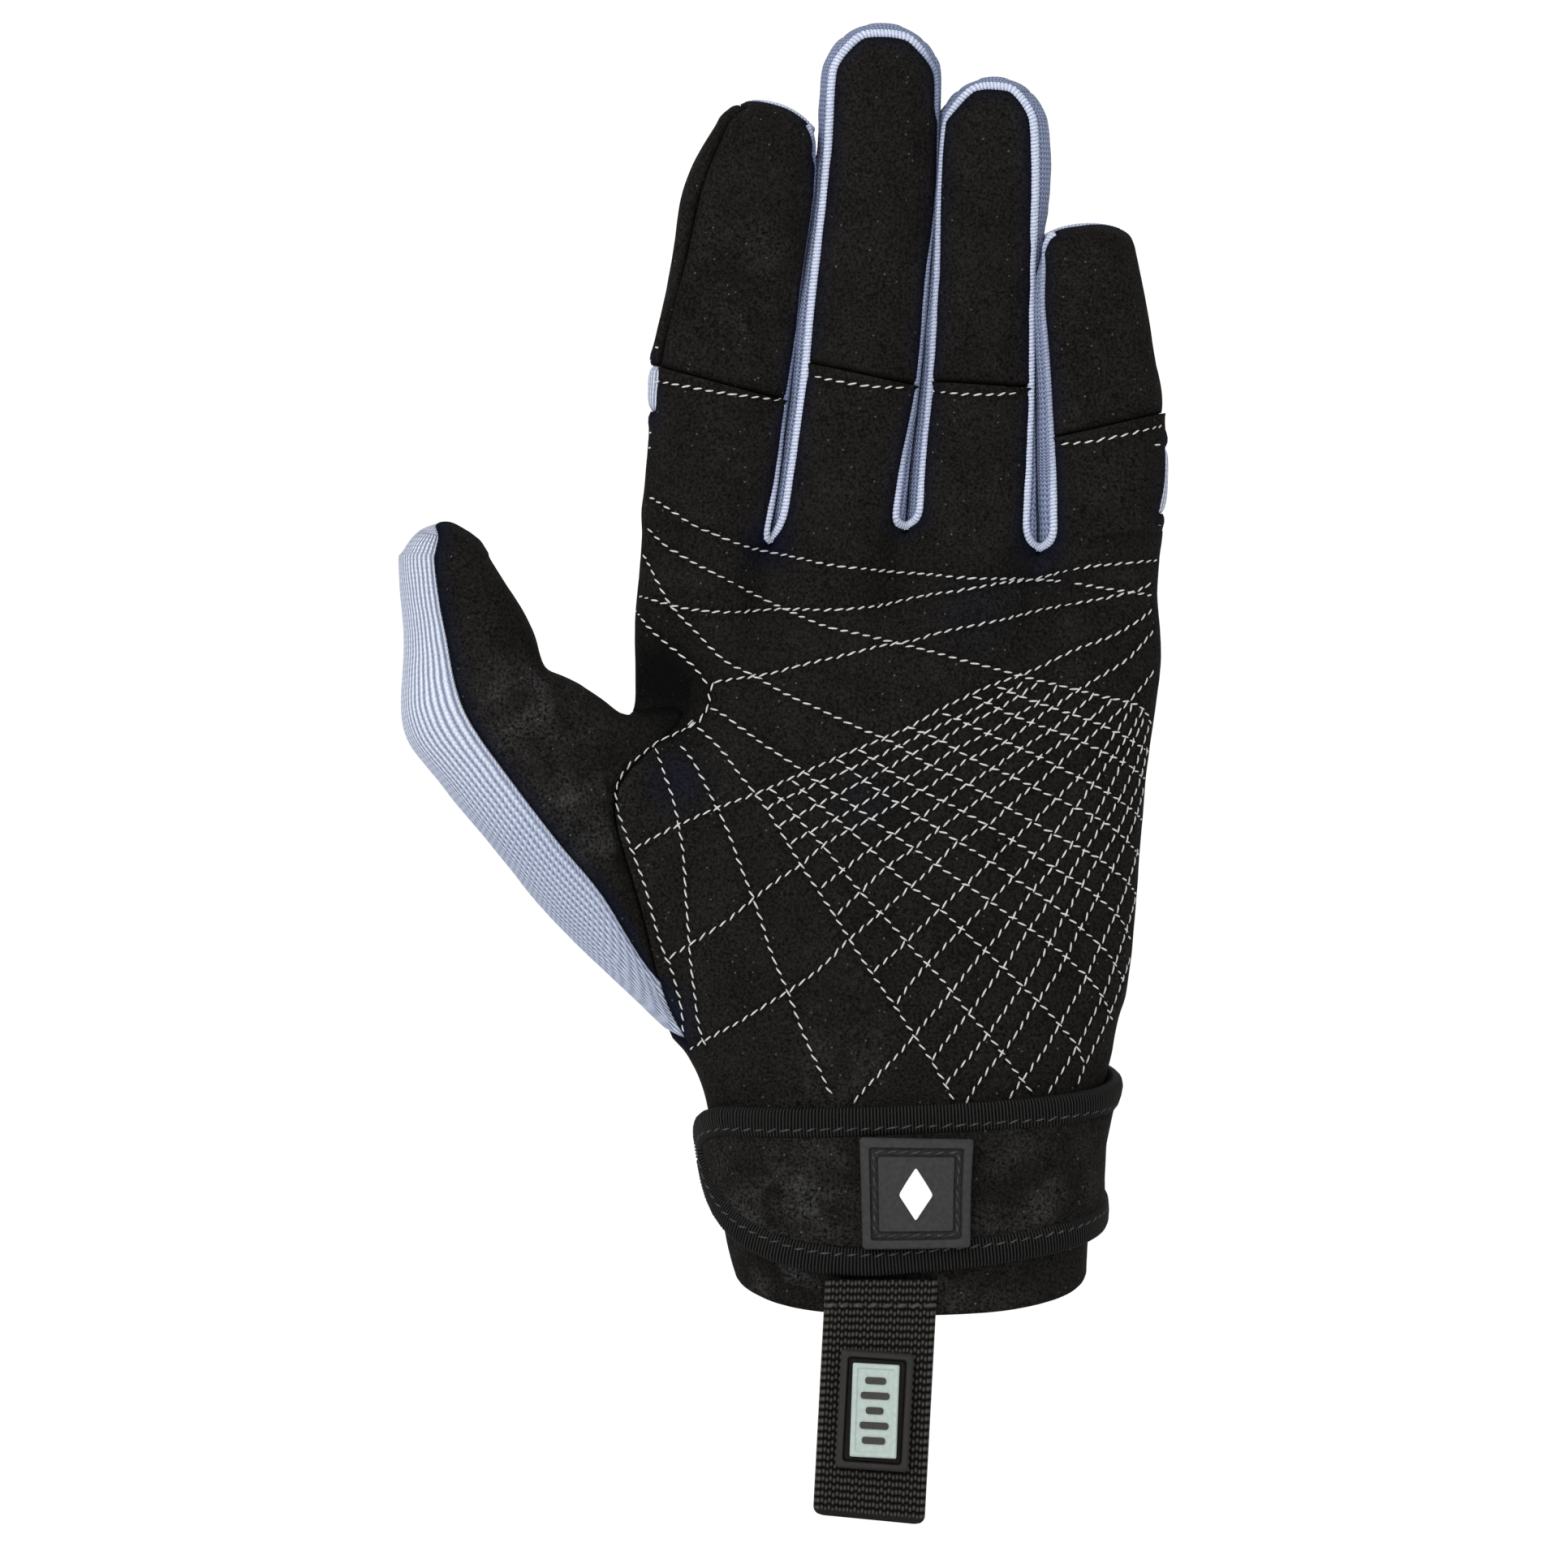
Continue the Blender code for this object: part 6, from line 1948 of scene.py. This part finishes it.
def add_badge(finishes, depths):
    """A moulded frame on the tab, and the plate with plain bars that sits in its recess."""

    def place(x, up, out):
        height = hem_front().z - BADGE_BELOW_HEM + up - x * BADGE_SLOPE
        return tab_point(depths, x, height, TAB_THICKNESS + SEAM_GAP + out)

    def place_plate(x, up, out):
        turn = math.radians(PLATE_TURN)
        turned = (x * math.cos(turn) - up * math.sin(turn), x * math.sin(turn) + up * math.cos(turn))
        return place(*turned, BADGE_FLOOR + SEAM_GAP + out)

    steps = (
        (0, BADGE_THICKNESS - BADGE_BEVEL), (BADGE_BEVEL, BADGE_BEVEL),
        (BADGE_RIM - BADGE_BEVEL * 2, 0), (BADGE_BEVEL, BADGE_FLOOR - BADGE_THICKNESS),
    )
    moulded(
        "tab_badge_frame", finishes["badge"], "plate",
        (BADGE_WIDTH, BADGE_HEIGHT, BADGE_CORNER), steps, place, ("tab_badge",),
    )
    steps = (
        (0, PLATE_THICKNESS - PLATE_BEVEL), (PLATE_BEVEL, PLATE_BEVEL), (PLATE_BORDER, 0),
        (PLATE_BEVEL, -PLATE_BEVEL),
    )
    moulded(
        "tab_badge_plate", finishes["plate"], "plate",
        (PLATE_WIDTH, PLATE_HEIGHT, PLATE_CORNER), steps, place_plate, ("badge_plate",),
    )
    for number, (up, width) in enumerate(BARS, 1):

        def place_bar(x, rise, out, up=up):
            return place_plate(x, rise + up * PLATE_HEIGHT, PLATE_THICKNESS - BAR_SINK + out)

        moulded(
            f"tab_badge_bar_{number}", finishes["bar"], "plate",
            (width * PLATE_WIDTH, BAR_HEIGHT, BAR_CORNER),
            ((0, BAR_RELIEF + PLATE_BEVEL / 2),), place_bar,
        )


class Value:
    """A shader's value or vector that adds and multiplies like a number."""

    def __init__(self, finish, socket):
        self.finish, self.socket = finish, socket

    def math(self, operation, *inputs):
        return self.finish.node("ShaderNodeMath", {"operation": operation}, inputs)

    def __add__(self, other):
        return self.math("ADD", self, other)

    __radd__ = __add__

    def __sub__(self, other):
        return self.math("SUBTRACT", self, other)

    def __rsub__(self, other):
        return self.math("SUBTRACT", other, self)

    def __mul__(self, other):
        return self.math("MULTIPLY", self, other)

    __rmul__ = __mul__

    def __truediv__(self, other):
        return self.math("DIVIDE", self, other)

    def __pow__(self, other):
        return self.math("POWER", self, other)

    def wave(self):
        """A cosine wave from 0 to 1 that repeats at each whole number."""
        return self.math("COSINE", self * math.tau) * 0.5 + 0.5

    def bounded(self, low, high):
        """The value from low to high as 0 to 1."""
        return self.finish.node("ShaderNodeMapRange", {"clamp": True}, (self, low, high))


class Finish:
    """A material whose nodes are made one after another."""

    def __init__(self, name, roughness, gloss):
        self.material = bpy.data.materials.new(name)
        self.material.use_nodes = True
        self.nodes, self.links = self.material.node_tree.nodes, self.material.node_tree.links
        self.shader = self.nodes["Principled BSDF"]
        self.shader.inputs["Roughness"].default_value = roughness
        self.shader.inputs["Specular IOR Level"].default_value = gloss

    def node(self, kind, settings, inputs, output=0):
        made = self.nodes.new(kind)
        for name, value in settings.items():
            setattr(made, name, value)
        named = inputs.items() if isinstance(inputs, dict) else enumerate(inputs)
        for name, value in named:
            self.feed(made.inputs[name], value)
        return Value(self, made.outputs[output])

    def feed(self, socket, value):
        if isinstance(value, Value):
            self.links.new(value.socket, socket)
        else:
            socket.default_value = value

    def place(self):
        return self.node("ShaderNodeTexCoord", {}, (), "Object")

    def flat(self):
        """The place on the flat cloth: across the ribs and along them."""
        where = self.node("ShaderNodeUVMap", {"uv_map": "flat"}, ())
        return [self.node("ShaderNodeSeparateXYZ", {}, (where,), i) for i in (0, 1)]

    def attribute(self, name):
        return self.node("ShaderNodeAttribute", {"attribute_name": name}, (), "Fac")

    def clouds(self, size, detail):
        """Noise whose lumps are about that big, in metres."""
        inputs = {"Vector": self.place(), "Scale": 1 / size, "Detail": detail}
        return self.node("ShaderNodeTexNoise", {}, inputs)

    def mix(self, share, one, other):
        return self.node("ShaderNodeMix", {"data_type": "RGBA"}, {0: share, 6: one, 7: other}, 2)

    def colour(self, value):
        self.feed(self.shader.inputs["Base Color"], value)

    def bump(self, height, depth):
        inputs = {"Height": height, "Distance": depth, "Strength": 1.0}
        self.feed(self.shader.inputs["Normal"], self.node("ShaderNodeBump", {}, inputs))


def suede():
    """Near-black brushed suede with a fine nap, pale lint and dusty smudges, a navy tint beside the
    knit, and painted shade in its grooves and hollows."""
    finish = Finish("black_suede", SUEDE_ROUGHNESS, SUEDE_GLOSS)
    nap = finish.clouds(NAP_SIZE, 4)
    blotches = finish.clouds(BLOTCH_SIZE, 3)
    light = (nap * NAP_SHARE + blotches * (1 - NAP_SHARE)).bounded(*NAP_RANGE)
    base = finish.mix(light, SUEDE_DARK, SUEDE_LIGHT)
    navy = (finish.attribute("navy") * (nap + 0.5)).bounded(*NAVY_RANGE)
    base = finish.mix(navy, base, SUEDE_NAVY)
    smudge = finish.clouds(DUST_SIZE, 5).bounded(*SMUDGE_RANGE)
    dust = smudge * finish.clouds(NAP_SIZE, 3).bounded(*DUST_RANGE)
    share = dust * (finish.attribute("dust") * DUST_SHARE + DUST_EVERYWHERE)
    base = finish.mix(share, base, DUST_COLOUR)
    lint = finish.node(
        "ShaderNodeTexVoronoi", {"feature": "F1"},
        {"Vector": finish.place(), "Scale": 1 / LINT_SPACING}, "Distance",
    )
    speck = (1 - lint).bounded(*LINT_RANGE)
    base = finish.mix(speck * LINT_SHARE, base, LINT_COLOUR)
    # Painted shade in the grooves of seams and stitches, and painted shadow in the hollow by the
    # thumb's web
    finish.colour(finish.mix(finish.attribute("groove") * GROOVE_SHADE_SHARE, base, GROOVE_SHADE_COLOUR))
    finish.bump(nap + blotches * BLOTCH_DEPTH, NAP_DEPTH)
    return finish.material


def knit():
    """Ribbed knit: rounded ribs of slanted stitches, pale and lilac, with painted shade between the
    ribs, or where shade is 1 more slanted stitches painted a darker blue as shade.
    """
    finish = Finish("ribbed_knit", KNIT_ROUGHNESS, KNIT_GLOSS)
    across, along = finish.flat()
    shade = finish.attribute("shade")
    wobble = finish.clouds(WOBBLE_SIZE, 2) * WOBBLE_SHARE
    phase = across / RIB_PITCH + wobble
    rib = phase.wave()
    lean = phase.math("PINGPONG", phase, 0.5)
    tick = (along / STITCH_ROW + lean * STITCH_SLANT + wobble).wave()
    fuzz = finish.clouds(FUZZ_SIZE, 3)
    ribbed = rib**RIBBED_POWER * RIBBED_SHARES[0] + rib * tick * RIBBED_SHARES[1]
    ticked = rib * TICKED_SHARES[0] + tick * TICKED_SHARES[1]
    height = ribbed + (ticked - ribbed) * shade
    light = (height + fuzz * FUZZ_SHARE).bounded(*KNIT_RANGE)
    # Where shade is 1 the knit is painted a darker blue as shade, and between the ribs it is painted
    # darker as shade
    ridge = finish.mix(shade, KNIT_RIDGE, SHADED_KNIT_RIDGE)
    groove = finish.mix(shade, KNIT_GROOVE, SHADED_KNIT_GROOVE)
    finish.colour(finish.mix(light, groove, ridge))
    finish.bump(height, RIB_DEPTH)
    return finish.material


def piping():
    """The knit's rolled edge: cross fibres, painted pale as lit where it is thick and dark blue as
    shade where it is thin, with painted shade between its ribs.
    """
    finish = Finish("rolled_edge", KNIT_ROUGHNESS, KNIT_GLOSS)
    fibre = finish.clouds(FIBRE_SIZE, 3)
    own, fibrous, less = LIT_SHARES
    # pale is painted light: the piping is painted lit where it is thick and shaded where it is thin
    pale = (finish.attribute("pale") * own + fibre * fibrous - less).bounded(0, 1)
    ridge = finish.attribute("shade")
    light = (fibre.bounded(*GRAIN_RANGE) * FIBRE_SHARE + ridge * (1 - FIBRE_SHARE)).bounded(0, 1)
    thin = finish.mix(light, PIPING_SHADED_GROOVE, PIPING_SHADED_RIDGE)
    thick = finish.mix(light, PIPING_LIT_GROOVE, PIPING_LIT_RIDGE)
    finish.colour(finish.mix(pale, thin, thick))
    finish.bump(fibre, FIBRE_DEPTH)
    return finish.material


def speckled(name, dark, light, roughness, gloss, size, depth, shaded=0):
    """A plain material with a fine mottling and a fine grain. shaded is how much of its brightness
    follows the mesh's shade, a painted shade that is darker in the piece's recesses."""
    finish = Finish(name, roughness, gloss)
    grain = finish.clouds(size, 5)
    share = grain.bounded(*GRAIN_RANGE)
    if shaded:
        share = share * (1 - shaded) + finish.attribute("shade") ** SHADE_POWER * shaded
    finish.colour(finish.mix(share, dark, light))
    finish.bump(grain, depth)
    return finish.material


def make_finishes():
    plain = {name: speckled(f"{name}_finish", *row) for name, row in PLAIN_FINISHES.items()}
    return {"suede": suede(), "piping": piping(), "knit": knit(), **plain}


def add_camera():
    data = bpy.data.cameras.new("camera")
    data.lens, data.sensor_width, data.type = CAMERA_LENS, CAMERA_SENSOR, "PERSP"
    data.clip_start, data.clip_end = CAMERA_NEAR, CAMERA_FAR
    camera = link(bpy.data.objects.new("camera", data))
    camera.location = CAMERA_PLACE
    camera.rotation_euler = (math.pi / 2, 0, 0)
    bpy.context.scene.camera = camera


def add_light():
    """A bright even room, with one large soft lamp from the upper left."""
    world = bpy.data.worlds.new("room")
    world.use_nodes = True
    room = world.node_tree.nodes["Background"]
    room.inputs["Color"].default_value = (1, 1, 1, 1)
    room.inputs["Strength"].default_value = ROOM_STRENGTH
    bpy.context.scene.world = world
    bpy.context.scene.view_settings.view_transform = "Standard"
    data = bpy.data.lights.new("soft_lamp", "AREA")
    data.size, data.energy = LAMP_SIZE, LAMP_ENERGY
    lamp = link(bpy.data.objects.new("soft_lamp", data))
    lamp.location = LAMP_PLACE
    aim = Vector(LAMP_TARGET) - Vector(LAMP_PLACE)
    lamp.rotation_euler = aim.to_track_quat("-Z", "Y").to_euler()


def add_floor():
    bpy.ops.object.select_all(action="DESELECT")
    bpy.ops.mesh.primitive_plane_add(size=FLOOR_SIZE, location=(0, 0, FLOOR_HEIGHT))
    floor = bpy.context.object
    floor.name = "floor"
    colours = (FLOOR_DARK, FLOOR_LIGHT)
    grain = (FLOOR_GRAIN, FLOOR_GRAIN_DEPTH)
    finish = speckled("floor_finish", *colours, FLOOR_ROUGHNESS, FLOOR_GLOSS, *grain)
    floor.data.materials.append(finish)


def main():
    add_camera()
    add_light()
    add_floor()
    finishes = make_finishes()
    shell, outside, edges = add_shell(finishes)
    add_piping(shell, edges, finishes["piping"])
    add_stitches("net_stitches", stitch_rows(outside, NET_LINES), finishes["thread"])
    seams = stitch_rows(outside, (*SEAM_LINES, *EDGE_LINES, *tack_lines()))
    add_stitches("seam_stitches", seams, finishes["thread"])
    add_strap(finishes["suede"])
    add_binding(finishes["tape"], finishes["grey_thread"])
    add_size_patch(finishes)
    depths = tab_depths()
    add_pull_tab(finishes["webbing"], depths)
    add_tab_stitches(finishes["grey_thread"], depths)
    add_badge(finishes, depths)


main()
